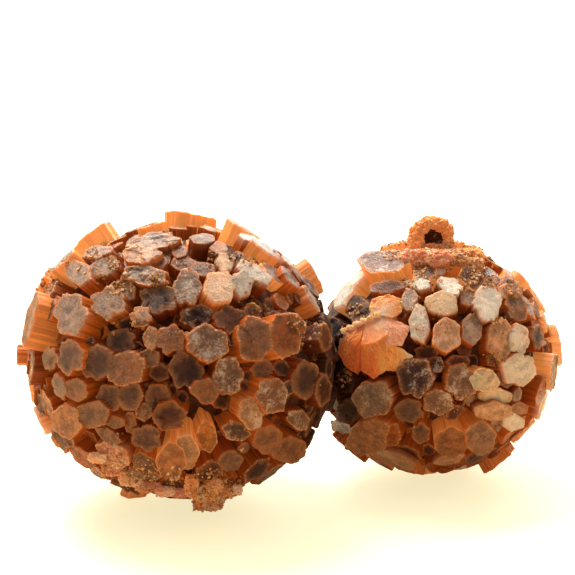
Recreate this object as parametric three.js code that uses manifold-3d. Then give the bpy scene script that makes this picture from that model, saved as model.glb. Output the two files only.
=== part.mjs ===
// Aragonite sputnik cluster: six-sided aragonite crystals that radiate from two centres, as two spiny balls that
// have grown into each other at a waist. It is one solid. Millimetres, +Z up, +X along its length, front to -Y.
// The origin is the middle of its box, on the surface that it rests on.
import * as THREE from 'three';
import { ConvexGeometry } from 'three/addons/geometries/ConvexGeometry.js';
import { mergeVertices } from 'three/addons/utils/BufferGeometryUtils.js';
import Module from 'manifold-3d';

const { MathUtils, Matrix4, Vector2, Vector3 } = THREE;

// The two balls: where their crystals radiate from, and how far the ends lie from there along X, Y and Z.
const largeBall = { centre: new Vector3(-16.56, -2.87, 22.0), radii: new Vector3(24.2, 22.5, 21.2) };
const smallBall = { centre: new Vector3(21.74, 8.18, 18.83), radii: new Vector3(18.8, 18.0, 17.9) };
const coreShare = 0.95;         // the coarse solid heart under the crystals, as a share of the ball's radii
const rootShare = 0.6;          // where a crystal starts, as a share of its reach
const waistRadius = 8.2;        // the lump of crystal and clay that the two balls share
const waistShare = 0.57;        // where it lies, as a share of the way from the large ball's centre to the small one's
const floorDepth = 30;          // what is cut off below the surface that the cluster rests on
const floorSpan = 200;

// The eye that the front crystals are laid out for: in front of the cluster, looking 16 degrees down.
const eyePitch = MathUtils.degToRad(16);
const eyeAway = 400;            // from the large ball's centre, along its line of sight
const eyeAcross = 15.7;
const eyeUp = 10.9;
const steepest = 0.32;          // an end turned further from the eye than this cosine is not drawn out any more

// Ends that face the front. Each row: across and up from the ball's centre as the eye sees them, the width and
// height that the end shows, its turn in degrees, and how far it stands proud of the ball.
const largeEnds = [
  [-13.0, 16.3, 4.4, 2.0, 15, 0.2], [-15.8, 13.2, 3.5, 3.3, 35, 0.2], [-12.0, 14.1, 4.5, 2.4, 20, 0.0],
  [-16.9, 6.9, 4.8, 5.8, 0, 0.8], [-11.3, 8.6, 4.5, 4.4, 10, 0.9], [-8.9, 10.6, 3.2, 3.3, 0, -0.5],
  [-5.8, 12.9, 6.0, 2.8, -5, 0.3], [-6.2, 16.2, 5.2, 3.0, 5, 0.7], [-4.0, 18.1, 7.5, 1.3, 3, 0.3],
  [0.2, 14.6, 3.6, 2.2, 0, -0.2], [3.0, 13.8, 3.8, 2.4, 5, 0.0], [0.7, 11.0, 4.0, 4.9, 0, 0.3],
  [5.6, 11.1, 4.6, 4.6, 0, 0.8], [6.4, 14.8, 2.6, 2.6, 0, 0.0], [9.0, 11.6, 3.2, 3.6, 0, 0.1],
  [10.8, 13.2, 5.0, 2.2, -35, 0.5], [-3.8, 9.2, 5.0, 4.2, 0, -0.3], [-6.4, 6.6, 3.1, 2.7, 0, 0.3],
  [2.2, 6.6, 4.6, 3.4, 0, -0.6], [7.1, 6.3, 4.6, 4.0, 0, -0.1], [-20.1, 0.2, 2.0, 3.3, 0, -0.4],
  [-17.0, 0.4, 4.0, 5.1, 0, 0.6], [-13.0, -0.3, 4.6, 5.0, 0, 0.3], [-18.6, -4.0, 2.2, 4.0, 15, -0.2],
  [-16.2, -4.5, 3.6, 3.4, 0, 0.3], [-11.1, -5.7, 3.6, 3.7, 0, -0.3], [-13.7, -8.2, 4.5, 3.9, 0, 0.2],
  [-17.6, -9.3, 3.6, 4.8, 25, 0.5], [-9.4, 2.9, 4.0, 3.7, 0, -0.8], [-4.8, 3.3, 2.2, 3.2, 0, 0.4],
  [-1.8, 3.1, 3.9, 4.2, 0, 0.3], [3.8, 2.6, 5.8, 5.2, -15, 1.2], [-8.6, -1.3, 5.2, 4.8, 0, 0.6],
  [-5.0, 0.3, 2.9, 2.7, 0, 0.1], [-3.5, -1.8, 3.0, 2.8, 0, -0.4], [0.5, -1.4, 5.0, 5.2, 0, 0.2],
  [6.8, -2.4, 4.3, 5.1, 0, 0.8], [3.4, -4.7, 4.0, 3.5, 0, 1.6], [-8.0, -5.4, 3.8, 4.1, 0, 0.3],
  [-3.8, -6.0, 3.7, 4.1, 0, 0.0], [-2.0, -8.5, 4.9, 3.9, 25, 1.0], [10.8, 3.3, 4.7, 6.2, 0, 0.9],
  [15.6, 3.9, 5.0, 6.0, 0, 1.0], [12.0, -1.3, 3.5, 2.7, 0, -0.6], [13.4, -5.4, 4.9, 4.7, 0, 0.7],
  [10.5, -7.9, 3.9, 4.8, 0, 0.6], [8.0, -10.7, 3.9, 2.7, 0, 0.0], [12.9, -12.1, 4.0, 4.3, 0, 0.4],
  [7.2, -15.2, 3.9, 3.0, 0, 0.3], [16.0, -13.6, 4.8, 2.9, 30, 0.3], [17.5, -9.0, 2.7, 3.0, 0, -0.6],
  [-11.3, -11.4, 4.4, 1.8, -32, 0.0], [-10.6, -14.3, 5.2, 3.2, -30, 0.4], [-5.5, -11.8, 4.2, 3.9, 0, 0.3],
  [0.5, -13.9, 3.7, 4.8, 0, 1.4], [-1.8, -15.3, 4.1, 5.2, 0, 1.6], [3.6, -11.5, 2.8, 4.5, 10, 0.8],
  [18.5, -3.0, 3.8, 5.6, 0, -0.3], [21.2, -4.6, 1.8, 5.0, 0, 0.0],
];
const smallEnds = [
  [-7.8, 14.8, 7.0, 3.2, 8, 0.6], [-7.3, 11.1, 5.5, 1.8, 12, 0.0], [-3.8, 9.2, 2.6, 3.4, 0, 0.3],
  [-11.8, 7.7, 3.4, 4.2, 0, -0.4], [-16.0, 4.7, 3.4, 3.3, 0, -0.2], [-7.4, 8.3, 4.8, 2.8, 10, 0.4],
  [-2.3, 5.3, 2.9, 5.4, 0, 0.4], [-1.2, 0.9, 3.4, 2.2, 0, -1.2], [2.5, 11.3, 3.8, 2.6, -25, 0.5],
  [8.4, 8.6, 4.2, 5.1, 0, 0.8], [1.2, 8.6, 4.9, 3.4, -5, 0.8], [7.5, 6.3, 3.2, 2.2, 0, 0.0],
  [5.9, 4.5, 2.7, 4.5, 0, 0.1], [2.0, 3.6, 3.9, 4.9, 0, 0.8], [10.3, 2.9, 3.1, 6.2, 0, 0.5],
  [13.3, 2.9, 2.7, 4.6, 0, 1.0], [-9.6, -6.4, 5.7, 5.0, 0, 0.9], [-13.0, -8.1, 3.7, 3.6, 0, -0.3],
  [-14.5, -10.8, 3.5, 2.0, 0, -0.3], [-10.3, -12.4, 5.8, 4.7, 0, 0.4], [-6.4, -12.0, 2.4, 3.2, 0, 0.0],
  [-3.9, -8.2, 4.4, 3.6, 0, 0.2], [-2.9, -3.0, 5.5, 5.6, 0, 0.6], [-2.0, -11.7, 2.6, 3.1, 0, -0.2],
  [0.6, -6.9, 4.2, 4.0, 0, 0.4], [4.2, -3.7, 4.7, 5.0, 0, 0.5], [7.9, -3.5, 4.1, 3.3, 0, 1.0],
  [9.6, -5.9, 4.5, 2.4, 0, 0.4], [9.3, -8.3, 5.2, 3.0, 0, 1.0], [13.3, -1.8, 4.5, 4.8, 0, 0.8],
  [11.1, -3.1, 2.7, 3.0, 0, -0.1], [12.4, -10.0, 3.1, 2.7, 0, 0.3], [2.6, -13.1, 4.9, 4.5, 0, 0.5],
  [7.3, -12.4, 4.7, 4.7, 0, 0.6],
];

// Ends along the outline. Each row: the angle round the outline from +X, how far the axis leans to the eye, both
// in degrees, the reach from the ball's centre, the width along the outline and the depth front to back.
const largeRim = [
  [33, -2, 23.6, 5.5, 4.5], [37, 22, 22.0, 4.3, 3.6], [26, 18, 22.6, 4.6, 3.6], [53, 15, 21.7, 5.0, 3.5],
  [65, 2, 21.9, 5.4, 4.0], [87, -3, 21.9, 7.0, 5.0], [105, 4, 20.9, 5.4, 4.0], [126, 0, 23.4, 7.0, 4.5],
  [140, 14, 23.9, 5.0, 4.0], [151, 5, 24.2, 4.5, 4.0], [167, 22, 24.8, 6.4, 5.0], [178, 2, 24.8, 3.0, 3.5],
  [184, 0, 23.4, 2.2, 3.0], [190, -3, 23.3, 4.4, 4.0], [203, 8, 23.3, 4.3, 4.0], [221, -4, 21.6, 5.0, 4.0],
  [235, -2, 20.2, 4.8, 4.0], [251, -5, 20.3, 3.9, 4.0], [261, -4, 20.2, 3.4, 3.0], [270, -6, 20.9, 2.6, 3.0],
  [295, 5, 20.6, 3.4, 3.6], [306, 0, 21.3, 3.9, 4.0], [328, 2, 22.7, 3.0, 3.0],
];
const smallRim = [
  [145, 8, 19.3, 2.8, 3.5], [136, 6, 18.8, 3.3, 3.5], [109, -8, 18.9, 4.6, 4.0], [92, 20, 17.3, 7.2, 5.0],
  [75, 20, 17.0, 3.6, 3.0], [74, -6, 18.5, 5.2, 4.0], [64, 5, 17.2, 2.0, 2.5], [54, -3, 17.2, 3.6, 3.5],
  [57, 15, 16.6, 2.4, 2.4], [47, 18, 17.6, 3.0, 2.5], [41, 0, 18.4, 4.4, 4.0], [29, 2, 18.5, 3.8, 4.0],
  [19, 12, 18.2, 3.2, 3.5], [6, -4, 19.5, 5.8, 4.0], [354, 22, 19.5, 5.0, 3.8], [337, 18, 18.7, 4.5, 4.0],
  [321, -2, 18.3, 4.6, 4.0], [303, -6, 19.3, 5.7, 4.6], [276, 4, 17.1, 5.8, 4.0], [257, 5, 17.9, 4.4, 4.2],
  [242, 7, 18.3, 4.4, 4.0], [227, -5, 19.4, 6.2, 4.0],
];

// Crystals that the cluster stands on, cut flat by the surface. Each row: where the end comes down, across and
// back from under the ball's centre, and the end's width and depth.
const largeFeet = [[-1.0, 4.0, 7.0, 6.0], [-7.5, 2.0, 4.6, 4.4], [5.0, 7.5, 4.6, 4.6]];
const smallFeet = [[-1.0, 2.5, 6.0, 5.0], [3.8, 4.0, 4.0, 4.0]];
const footPast = 0.8;           // how far past the surface a foot would reach, had it not been worn flat

// The clay-clogged lumps of the foot at the front. Each row: where it lies from the large ball's centre along X, Y
// and Z, and its size.
const footLumps = [
  [3.5, -5.2, -19.8, 6.0], [1.4, -6.5, -17.8, 3.4], [5.2, -5.5, -18.9, 3.8], [7.4, -6.5, -17.6, 3.4],
  [2.2, -7.2, -18.2, 3.4],
];

// The broken bundle of crystals on the small ball, as three wedges of corner points: across, up, proud.
const bundleCrest = [-9.0, 2.4, 2.2];
const bundleTop = [-8.0, 6.8, 1.0];
const bundleFoot = [-9.3, -3.2, 0.2];
const bundleEast = [-4.9, 1.8, 0.7];
const bundleRoot = [-9.0, 1.8, -7.0];
const bundleWedges = [
  [bundleTop, [-10.2, 6.1, 0.4], [-14.1, 4.2, -0.6], [-14.8, 0.8, -1.0], [-13.4, -1.1, -0.6], bundleFoot,
    bundleCrest, bundleRoot],
  [bundleTop, [-3.7, 4.9, 0.2], bundleEast, bundleCrest, bundleRoot],
  [bundleCrest, bundleEast, [-3.3, 0.3, 0.0], [-5.9, -2.0, 0.2], [-7.2, -1.9, 0.3], bundleFoot, bundleRoot],
];

// The stub on top of the small ball, a few crystals that lean together over a hole: across, up, width, height,
// turn and how far in front of the ball's middle plane each lies.
const stubCrystals = [
  [-2.4, 18.6, 2.6, 3.8, -8, 0.6], [-0.9, 20.0, 3.2, 3.4, 28, 0.0], [1.2, 20.0, 2.8, 2.9, -20, 0.2],
  [2.0, 18.6, 1.8, 3.2, 6, 0.5], [0.2, 18.2, 4.0, 3.6, 0, -2.6],
];
const stubDepth = 3.6;

// Crystals on the sides that face away: how wide they are, how tightly they stand, and how uneven their reach is.
const candidates = 1500;
const candidateStep = 907;      // shares no factor with the number of candidates, so the order is well mixed
const narrowest = 5.6;
const widest = 9.0;
const mostlyNarrow = 1.4;       // the power that makes small crystals more common than large ones
const spacing = 0.9;
const unevenness = 1.5;
const buried = 0.98;            // a crystal that ends nearer the other ball's centre than this share is left out
const crevice = 0.92;           // how much of its place a crystal fills, which leaves a dark gap round it
const cornerSpread = 0.34;      // how far a corner strays, as a share of the sixth of a turn between corners

// Places on the front where none of those crystals grows: across, up and how wide the place is.
const largeKept = [[3.6, -19.8, 6], [8, -19, 3]];
const smallKept = [[-9, 2, 10], [-13, 1, 4], [-5.5, 0.5, 4], [-0.5, 17.5, 6]];

// Seeds of the uneven shapes, one range for each group of crystals.
const largeSeed = 11;
const smallSeed = 20011;
const seedStep = 7;
const rimSeed = 3000;
const footSeed = 5000;
const farSeed = 9000;
const stubSeed = 900;

const wasm = await Module();
wasm.setup();

const right = new Vector3(1, 0, 0);
const upward = new Vector3(0, Math.sin(eyePitch), Math.cos(eyePitch));
const towardEye = new Vector3(0, -Math.cos(eyePitch), Math.sin(eyePitch));
const eye = largeBall.centre.clone()
  .addScaledVector(right, eyeAcross)
  .addScaledVector(upward, eyeUp)
  .addScaledVector(towardEye, eyeAway);

// A number from 0 to 1 that looks random and is the same on every run.
function chance(seed) {
  const wave = Math.sin(seed * 12.9898 + 4.1414) * 43758.5453;
  return wave - Math.floor(wave);
}

function toSolid(geometry) {
  geometry.deleteAttribute('normal');
  geometry.deleteAttribute('uv');
  const merged = mergeVertices(geometry, 1e-4);
  return new wasm.Manifold(new wasm.Mesh({
    numProp: 3,
    vertProperties: Float32Array.from(merged.getAttribute('position').array),
    triVerts: Uint32Array.from(merged.getIndex().array),
  }));
}

function toGeometry(solid) {
  const mesh = solid.getMesh();
  const geometry = new THREE.BufferGeometry();
  geometry.setAttribute('position', new THREE.BufferAttribute(mesh.vertProperties, 3));
  geometry.setIndex(new THREE.BufferAttribute(mesh.triVerts, 1));
  geometry.computeVertexNormals();
  return geometry;
}

// Joins a list of solids in pairs, which keeps each join small.
function fuse(solids) {
  if (solids.length === 1) {
    return solids[0];
  }
  const half = Math.ceil(solids.length / 2);
  return fuse(solids.slice(0, half)).add(fuse(solids.slice(half)));
}

// The point of the ball, raised by proud, that the eye sees at this place in the plane through its centre.
function seenPoint(ball, across, up, proud) {
  const target = ball.centre.clone().addScaledVector(right, across).addScaledVector(upward, up);
  const reach = ball.radii.clone().addScalar(proud);
  const from = eye.clone().sub(ball.centre).divide(reach);
  const ray = target.sub(eye).divide(reach);
  const nearest = -from.dot(ray) / ray.lengthSq();
  const miss = from.clone().addScaledVector(ray, nearest).lengthSq();
  const back = Math.sqrt(Math.max(0, 1 - miss) / ray.lengthSq());
  const hit = from.addScaledVector(ray, nearest - back).normalize();
  return hit.multiply(reach).add(ball.centre);
}

// The corners of an uneven hexagon that fills a box of this width and height, turned by some degrees.
function hexagon(width, height, turn, seed) {
  const phase = chance(seed + 0.3) < 0.5 ? 0 : Math.PI / 6;
  const corners = [];
  for (let i = 0; i < 6; i += 1) {
    const angle = phase + (i + cornerSpread * (chance(seed + i) - 0.5)) * Math.PI / 3;
    corners.push(new Vector2(Math.cos(angle), Math.sin(angle)));
  }
  const wide = Math.max(...corners.map((corner) => Math.abs(corner.x)));
  const high = Math.max(...corners.map((corner) => Math.abs(corner.y)));
  const middle = new Vector2();
  return corners.map((corner) => new Vector2(corner.x * width / wide, corner.y * height / high)
    .multiplyScalar(crevice / 2)
    .rotateAround(middle, MathUtils.degToRad(turn)));
}

// Two directions across the end of a crystal, square to its axis: the first lies level where it can.
function endDirections(axis, level) {
  const side = new Vector3().crossVectors(level, axis).normalize();
  return [side, new Vector3().crossVectors(axis, side)];
}

// A crystal whose end lies at tip, square to axis, with its corners given as places across the end. Its sides run
// in towards the ball's centre, so that neighbours stay apart down to the core.
function prism(ball, tip, side, along, corners) {
  const points = [];
  for (const corner of corners) {
    const point = tip.clone().addScaledVector(side, corner.x).addScaledVector(along, corner.y);
    points.push(point, ball.centre.clone().lerp(point, rootShare));
  }
  return toSolid(new ConvexGeometry(points));
}

// A front end: its outline as the eye sees it is carried back onto the end's own plane.
function frontCrystal(ball, row, seed) {
  const [across, up, width, height, turn, proud] = row;
  const tip = seenPoint(ball, across, up, proud);
  const axis = tip.clone().sub(ball.centre).normalize();
  const sight = eye.clone().sub(tip).normalize();
  const lean = Math.max(sight.dot(axis), steepest);
  const [side, along] = endDirections(axis, upward);
  const corners = hexagon(width, height, turn, seed).map((corner) => {
    const place = right.clone().multiplyScalar(corner.x).addScaledVector(upward, corner.y);
    place.addScaledVector(sight, -place.dot(axis) / lean);
    return new Vector2(place.dot(side), place.dot(along));
  });
  const spans = ['x', 'y'].map((key) => corners.reduce((most, corner) => Math.max(most, Math.abs(corner[key])), 0));
  return { axis, size: spans[0] + spans[1], solid: prism(ball, tip, side, along, corners) };
}

// An outline end: its width runs along the outline and its depth from front to back.
function rimCrystal(ball, row, seed) {
  const [around, lean, reach, width, depth] = row;
  const turned = MathUtils.degToRad(around);
  const leaned = MathUtils.degToRad(lean);
  const axis = right.clone().multiplyScalar(Math.cos(turned) * Math.cos(leaned))
    .addScaledVector(upward, Math.sin(turned) * Math.cos(leaned))
    .addScaledVector(towardEye, Math.sin(leaned));
  const tip = ball.centre.clone().addScaledVector(axis, reach);
  const [side, along] = endDirections(axis, towardEye);
  const corners = hexagon(width, depth, 0, seed);
  return { axis, size: (width + depth) / 2, solid: prism(ball, tip, side, along, corners) };
}

function footCrystal(ball, row, seed) {
  const [across, back, width, depth] = row;
  const tip = ball.centre.clone().add(new Vector3(across, back, -ball.centre.z));
  const axis = tip.clone().sub(ball.centre).normalize();
  tip.addScaledVector(axis, footPast);
  const [side, along] = endDirections(axis, right);
  const corners = hexagon(width, depth, 0, seed);
  return { axis, size: (width + depth) / 2, solid: prism(ball, tip, side, along, corners) };
}

function insideBall(ball, point, share) {
  return point.clone().sub(ball.centre).divide(ball.radii).length() < share;
}

// Evenly spread directions, taken in a mixed order. Each grows a crystal if no earlier one is in its way.
function farCrystals(ball, otherBall, taken, seed) {
  const grown = [];
  const meanRadius = (ball.radii.x + ball.radii.y + ball.radii.z) / 3;
  const goldenAngle = Math.PI * (3 - Math.sqrt(5));
  for (let i = 0; i < candidates; i += 1) {
    const k = (i * candidateStep) % candidates;
    const z = 1 - (2 * k + 1) / candidates;
    const flat = Math.sqrt(1 - z * z);
    const spot = new Vector3(flat * Math.cos(k * goldenAngle), flat * Math.sin(k * goldenAngle), z);
    const size = narrowest + (widest - narrowest) * chance(seed + k) ** mostlyNarrow;
    const free = taken.every((other) => other.axis.angleTo(spot) * meanRadius > spacing * (size + other.size) / 2);
    const tip = spot.clone().multiply(ball.radii);
    const axis = tip.clone().normalize();
    tip.addScaledVector(axis, unevenness * (chance(seed + k + 0.5) - 0.5));
    tip.add(ball.centre);
    if (free && !insideBall(otherBall, tip, buried) && tip.z > 0) {
      const [side, along] = endDirections(axis, Math.abs(axis.z) > 0.9 ? right : new Vector3(0, 0, 1));
      const width = size * (0.9 + 0.25 * chance(seed + k + 0.1));
      const height = size * (0.8 + 0.3 * chance(seed + k + 0.2));
      const corners = hexagon(width, height, 180 * chance(seed + k + 0.4), seed + k);
      taken.push({ axis: spot, size });
      grown.push(prism(ball, tip, side, along, corners));
    }
  }
  return grown;
}

function core(ball) {
  const geometry = new THREE.DodecahedronGeometry(1, 0);
  geometry.scale(ball.radii.x * coreShare, ball.radii.y * coreShare, ball.radii.z * coreShare);
  geometry.translate(ball.centre.x, ball.centre.y, ball.centre.z);
  return toSolid(geometry);
}

function waist() {
  const geometry = new THREE.IcosahedronGeometry(waistRadius, 1);
  const middle = largeBall.centre.clone().lerp(smallBall.centre, waistShare);
  geometry.translate(middle.x, middle.y, middle.z);
  return toSolid(geometry);
}

// A lump and the tapering stalk that carries it from inside the core.
function footLump([x, y, z, size]) {
  const geometry = new THREE.IcosahedronGeometry(size / 2, 0);
  const place = largeBall.centre.clone().add(new Vector3(x, y, z));
  const corners = geometry.getAttribute('position');
  const points = [];
  for (let i = 0; i < corners.count; i += 1) {
    const point = new Vector3().fromBufferAttribute(corners, i).add(place);
    points.push(point, largeBall.centre.clone().lerp(point, rootShare));
  }
  return toSolid(new ConvexGeometry(points));
}

function bundleWedge(corners) {
  const points = corners.map(([across, up, proud]) => seenPoint(smallBall, across, up, proud));
  return toSolid(new ConvexGeometry(points));
}

function stubCrystal([across, up, width, height, turn, forward], index) {
  const corners = hexagon(width, height, turn, stubSeed + index);
  const geometry = new THREE.ExtrudeGeometry(new THREE.Shape(corners), { depth: stubDepth, bevelEnabled: false });
  const place = new Matrix4().makeBasis(right, upward, towardEye);
  place.setPosition(smallBall.centre.clone()
    .addScaledVector(right, across)
    .addScaledVector(upward, up)
    .addScaledVector(towardEye, forward - stubDepth / 2));
  return toSolid(geometry.applyMatrix4(place));
}

function growBall(ball, otherBall, ends, rim, feet, kept, seed) {
  const front = ends.map((row, i) => frontCrystal(ball, row, seed + seedStep * i));
  const outline = rim.map((row, i) => rimCrystal(ball, row, seed + rimSeed + seedStep * i));
  const standing = feet.map((row, i) => footCrystal(ball, row, seed + footSeed + seedStep * i));
  const placed = [...front, ...outline, ...standing];
  const taken = placed.concat(kept.map(([across, up, size]) => {
    const axis = seenPoint(ball, across, up, 0).sub(ball.centre).normalize();
    return { axis, size };
  }));
  return [...placed.map((crystal) => crystal.solid), ...farCrystals(ball, otherBall, taken, seed + farSeed)];
}

const pieces = [
  core(largeBall),
  core(smallBall),
  waist(),
  ...growBall(largeBall, smallBall, largeEnds, largeRim, largeFeet, largeKept, largeSeed),
  ...growBall(smallBall, largeBall, smallEnds, smallRim, smallFeet, smallKept, smallSeed),
  ...footLumps.map(footLump),
  ...bundleWedges.map(bundleWedge),
  ...stubCrystals.map(stubCrystal),
];
const below = new THREE.BoxGeometry(floorSpan, floorSpan, floorDepth);
below.translate(0, 0, -floorDepth / 2);
const cluster = fuse(pieces).subtract(toSolid(below));

const aragonite = new THREE.MeshStandardMaterial({ color: 0x9c6440, roughness: 0.55, metalness: 0, flatShading: true });
const mesh = new THREE.Mesh(toGeometry(cluster), aragonite);
mesh.name = 'crystal_cluster';

const part = new THREE.Group();
part.add(mesh);

export default part;
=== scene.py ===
import itertools
import math
import bpy
import bmesh
from mathutils import Matrix, Vector
from mathutils.noise import fractal


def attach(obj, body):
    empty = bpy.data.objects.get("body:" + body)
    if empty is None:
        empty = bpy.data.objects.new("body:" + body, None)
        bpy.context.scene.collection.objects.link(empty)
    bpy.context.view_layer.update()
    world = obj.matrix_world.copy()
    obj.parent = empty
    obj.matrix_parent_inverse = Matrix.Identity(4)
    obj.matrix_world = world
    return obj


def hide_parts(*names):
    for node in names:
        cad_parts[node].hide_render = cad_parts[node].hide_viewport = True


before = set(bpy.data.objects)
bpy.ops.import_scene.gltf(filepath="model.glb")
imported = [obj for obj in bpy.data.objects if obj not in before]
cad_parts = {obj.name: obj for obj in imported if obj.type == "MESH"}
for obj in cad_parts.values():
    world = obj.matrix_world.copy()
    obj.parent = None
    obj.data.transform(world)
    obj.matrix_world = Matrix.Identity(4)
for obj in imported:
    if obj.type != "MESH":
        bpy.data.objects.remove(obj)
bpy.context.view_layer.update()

print("frame loaded")
mm = 0.001

# The two balls, in millimetres: where their crystals radiate from, how far the ends lie from there, and how bright
# their tones are against the list of tones.
largeBall = {"centre": Vector((-16.56, -2.87, 22.0)), "radii": Vector((24.2, 22.5, 21.2)), "seed": 11,
             "bright": 0.97}
smallBall = {"centre": Vector((21.74, 8.18, 18.83)), "radii": Vector((18.8, 18.0, 17.9)), "seed": 20011,
             "bright": 1.28}

# The eye looks 16 degrees down, from in front of the large ball and off to its right.
eye = {"pitch": math.radians(16), "away": 400.0, "across": 15.7, "up": 10.9, "lens": 166.96}
right = Vector((1, 0, 0))
upward = Vector((0, math.sin(eye["pitch"]), math.cos(eye["pitch"])))
towardEye = Vector((0, -math.cos(eye["pitch"]), math.sin(eye["pitch"])))
eyePlace = largeBall["centre"] + right * eye["across"] + upward * eye["up"] + towardEye * eye["away"]


def chance(seed):
    wave = math.sin(seed * 12.9898 + 4.1414) * 43758.5453
    return wave - math.floor(wave)


def span01(low, high, value):
    return min(1, max(0, (value - low) / (high - low)))


def times(a, b):
    return Vector((a.x * b.x, a.y * b.y, a.z * b.z))


def parts(a, b):
    return Vector((a.x / b.x, a.y / b.y, a.z / b.z))


def seenPoint(ball, across, up, proud):
    # the point of the ball, raised by proud, that the eye sees at this place in the plane through its centre
    target = ball["centre"] + right * across + upward * up
    reach = ball["radii"] + Vector((proud, proud, proud))
    start = parts(eyePlace - ball["centre"], reach)
    ray = parts(target - eyePlace, reach)
    nearest = -start.dot(ray) / ray.length_squared
    miss = (start + ray * nearest).length_squared
    back = math.sqrt(max(0, 1 - miss) / ray.length_squared)
    hit = (start + ray * (nearest - back)).normalized()
    return times(hit, reach) + ball["centre"]


# Tones: what a letter in the lists below stands for. A capital is the same tone, rough and frosted.
tones = {
    "m": (0.186, 0.080, 0.037), "g": (0.278, 0.143, 0.078), "p": (0.37, 0.25, 0.17), "c": (0.71, 0.61, 0.49),
    "e": (0.53, 0.235, 0.092), "t": (0.32, 0.130, 0.046), "o": (0.36, 0.100, 0.016), "y": (0.56, 0.20, 0.035),
    "b": (0.110, 0.026, 0.005), "r": (0.16, 0.030, 0.003), "d": (0.070, 0.017, 0.004), "a": (0.86, 0.40, 0.14),
    "k": (0.72, 0.33, 0.20), "w": (0.85, 0.55, 0.33), "n": (0.58, 0.32, 0.17), "s": (0.115, 0.058, 0.034),
}

# Ends that face the front. Each row: across and up from the ball's centre as the eye sees them, the width and
# height that the end shows, its turn in degrees, and how far it stands proud of the ball.
largeEnds = [
    [-13.0, 16.3, 4.4, 2.0, 15, 0.2], [-15.8, 13.2, 3.5, 3.3, 35, 0.2], [-12.0, 14.1, 4.5, 2.4, 20, 0.0],
    [-16.9, 6.9, 4.8, 5.8, 0, 0.8], [-11.3, 8.6, 4.5, 4.4, 10, 0.9], [-8.9, 10.6, 3.2, 3.3, 0, -0.5],
    [-5.8, 12.9, 6.0, 2.8, -5, 0.3], [-6.2, 16.2, 5.2, 3.0, 5, 0.7], [-4.5, 17.9, 7.7, 2.0, 5, 0.5],
    [0.2, 14.6, 3.6, 2.2, 0, -0.2], [3.0, 13.8, 3.8, 2.4, 5, 0.0], [0.7, 11.0, 4.0, 4.9, 0, 0.3],
    [5.6, 11.1, 4.6, 4.6, 0, 0.8], [6.4, 14.8, 2.6, 2.6, 0, 0.0], [9.0, 11.6, 3.2, 3.6, 0, 0.5],
    [10.8, 13.2, 5.0, 2.2, -35, 0.5], [-3.8, 9.2, 5.0, 4.2, 0, -0.3], [-6.4, 6.6, 3.1, 2.7, 0, 0.3],
    [2.2, 6.6, 4.6, 3.4, 0, -0.6], [7.1, 6.3, 4.6, 4.0, 0, -0.1], [-20.1, 0.2, 2.0, 3.3, 0, -0.4],
    [-17.0, 0.4, 4.0, 5.1, 0, 0.6], [-13.0, -0.3, 4.6, 5.0, 0, 0.3], [-18.6, -4.0, 2.2, 4.0, 15, -0.2],
    [-16.2, -4.5, 3.6, 3.4, 0, 0.3], [-11.1, -5.7, 3.6, 3.7, 0, -0.3], [-13.7, -8.2, 4.5, 3.9, 0, 0.2],
    [-17.6, -9.3, 3.6, 4.8, 25, 0.5], [-9.4, 2.9, 4.0, 3.7, 0, -0.8], [-4.8, 3.3, 2.2, 3.2, 0, 0.4],
    [-1.8, 3.1, 3.9, 4.2, 0, 0.3], [3.8, 2.6, 5.8, 5.2, -15, 1.2], [-8.6, -1.3, 5.2, 4.8, 0, 0.6],
    [-5.0, 0.3, 2.9, 2.7, 0, 0.1], [-3.5, -1.8, 3.0, 2.8, 0, -0.4], [0.5, -1.4, 5.0, 5.2, 0, 0.2],
    [6.8, -2.4, 4.3, 5.1, 0, 0.8], [3.4, -4.7, 4.0, 3.5, 0, 1.6], [-8.0, -5.4, 3.8, 4.1, 0, 0.3],
    [-3.8, -6.0, 3.7, 4.1, 0, 0.0], [-2.0, -8.5, 4.9, 3.9, 25, 1.0], [10.8, 3.3, 4.7, 6.2, 0, 0.9],
    [15.6, 3.9, 5.0, 6.0, 0, 1.0], [12.0, -1.3, 3.5, 2.7, 0, -0.6], [13.4, -5.4, 4.9, 4.7, 0, 0.7],
    [10.5, -7.9, 3.9, 4.8, 0, 0.6], [8.0, -10.7, 3.9, 2.7, 0, 0.0], [12.9, -12.1, 4.0, 4.3, 0, 0.4],
    [7.2, -15.2, 3.9, 3.0, 0, 0.3], [16.0, -13.6, 4.8, 2.9, 30, 0.3], [17.5, -9.0, 2.7, 3.0, 0, -0.6],
    [-11.3, -11.4, 4.4, 1.8, -32, 0.0], [-10.6, -14.3, 5.2, 3.2, -30, 0.4], [-5.5, -11.8, 4.2, 3.9, 0, 0.3],
    [0.5, -13.9, 3.7, 4.8, 0, 1.4], [-1.8, -15.3, 4.1, 5.2, 0, 1.6], [3.6, -11.5, 2.8, 4.5, 10, 0.8],
    [18.5, -3.0, 3.8, 5.6, 0, -0.3], [21.2, -4.6, 1.8, 5.0, 0, 0.0],
]
largeTones = "pppppgPnpggPwwccsnDmgmmgtmgesntGtgbdGtmmbtomTNMtgtGgKmneydb"
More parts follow.
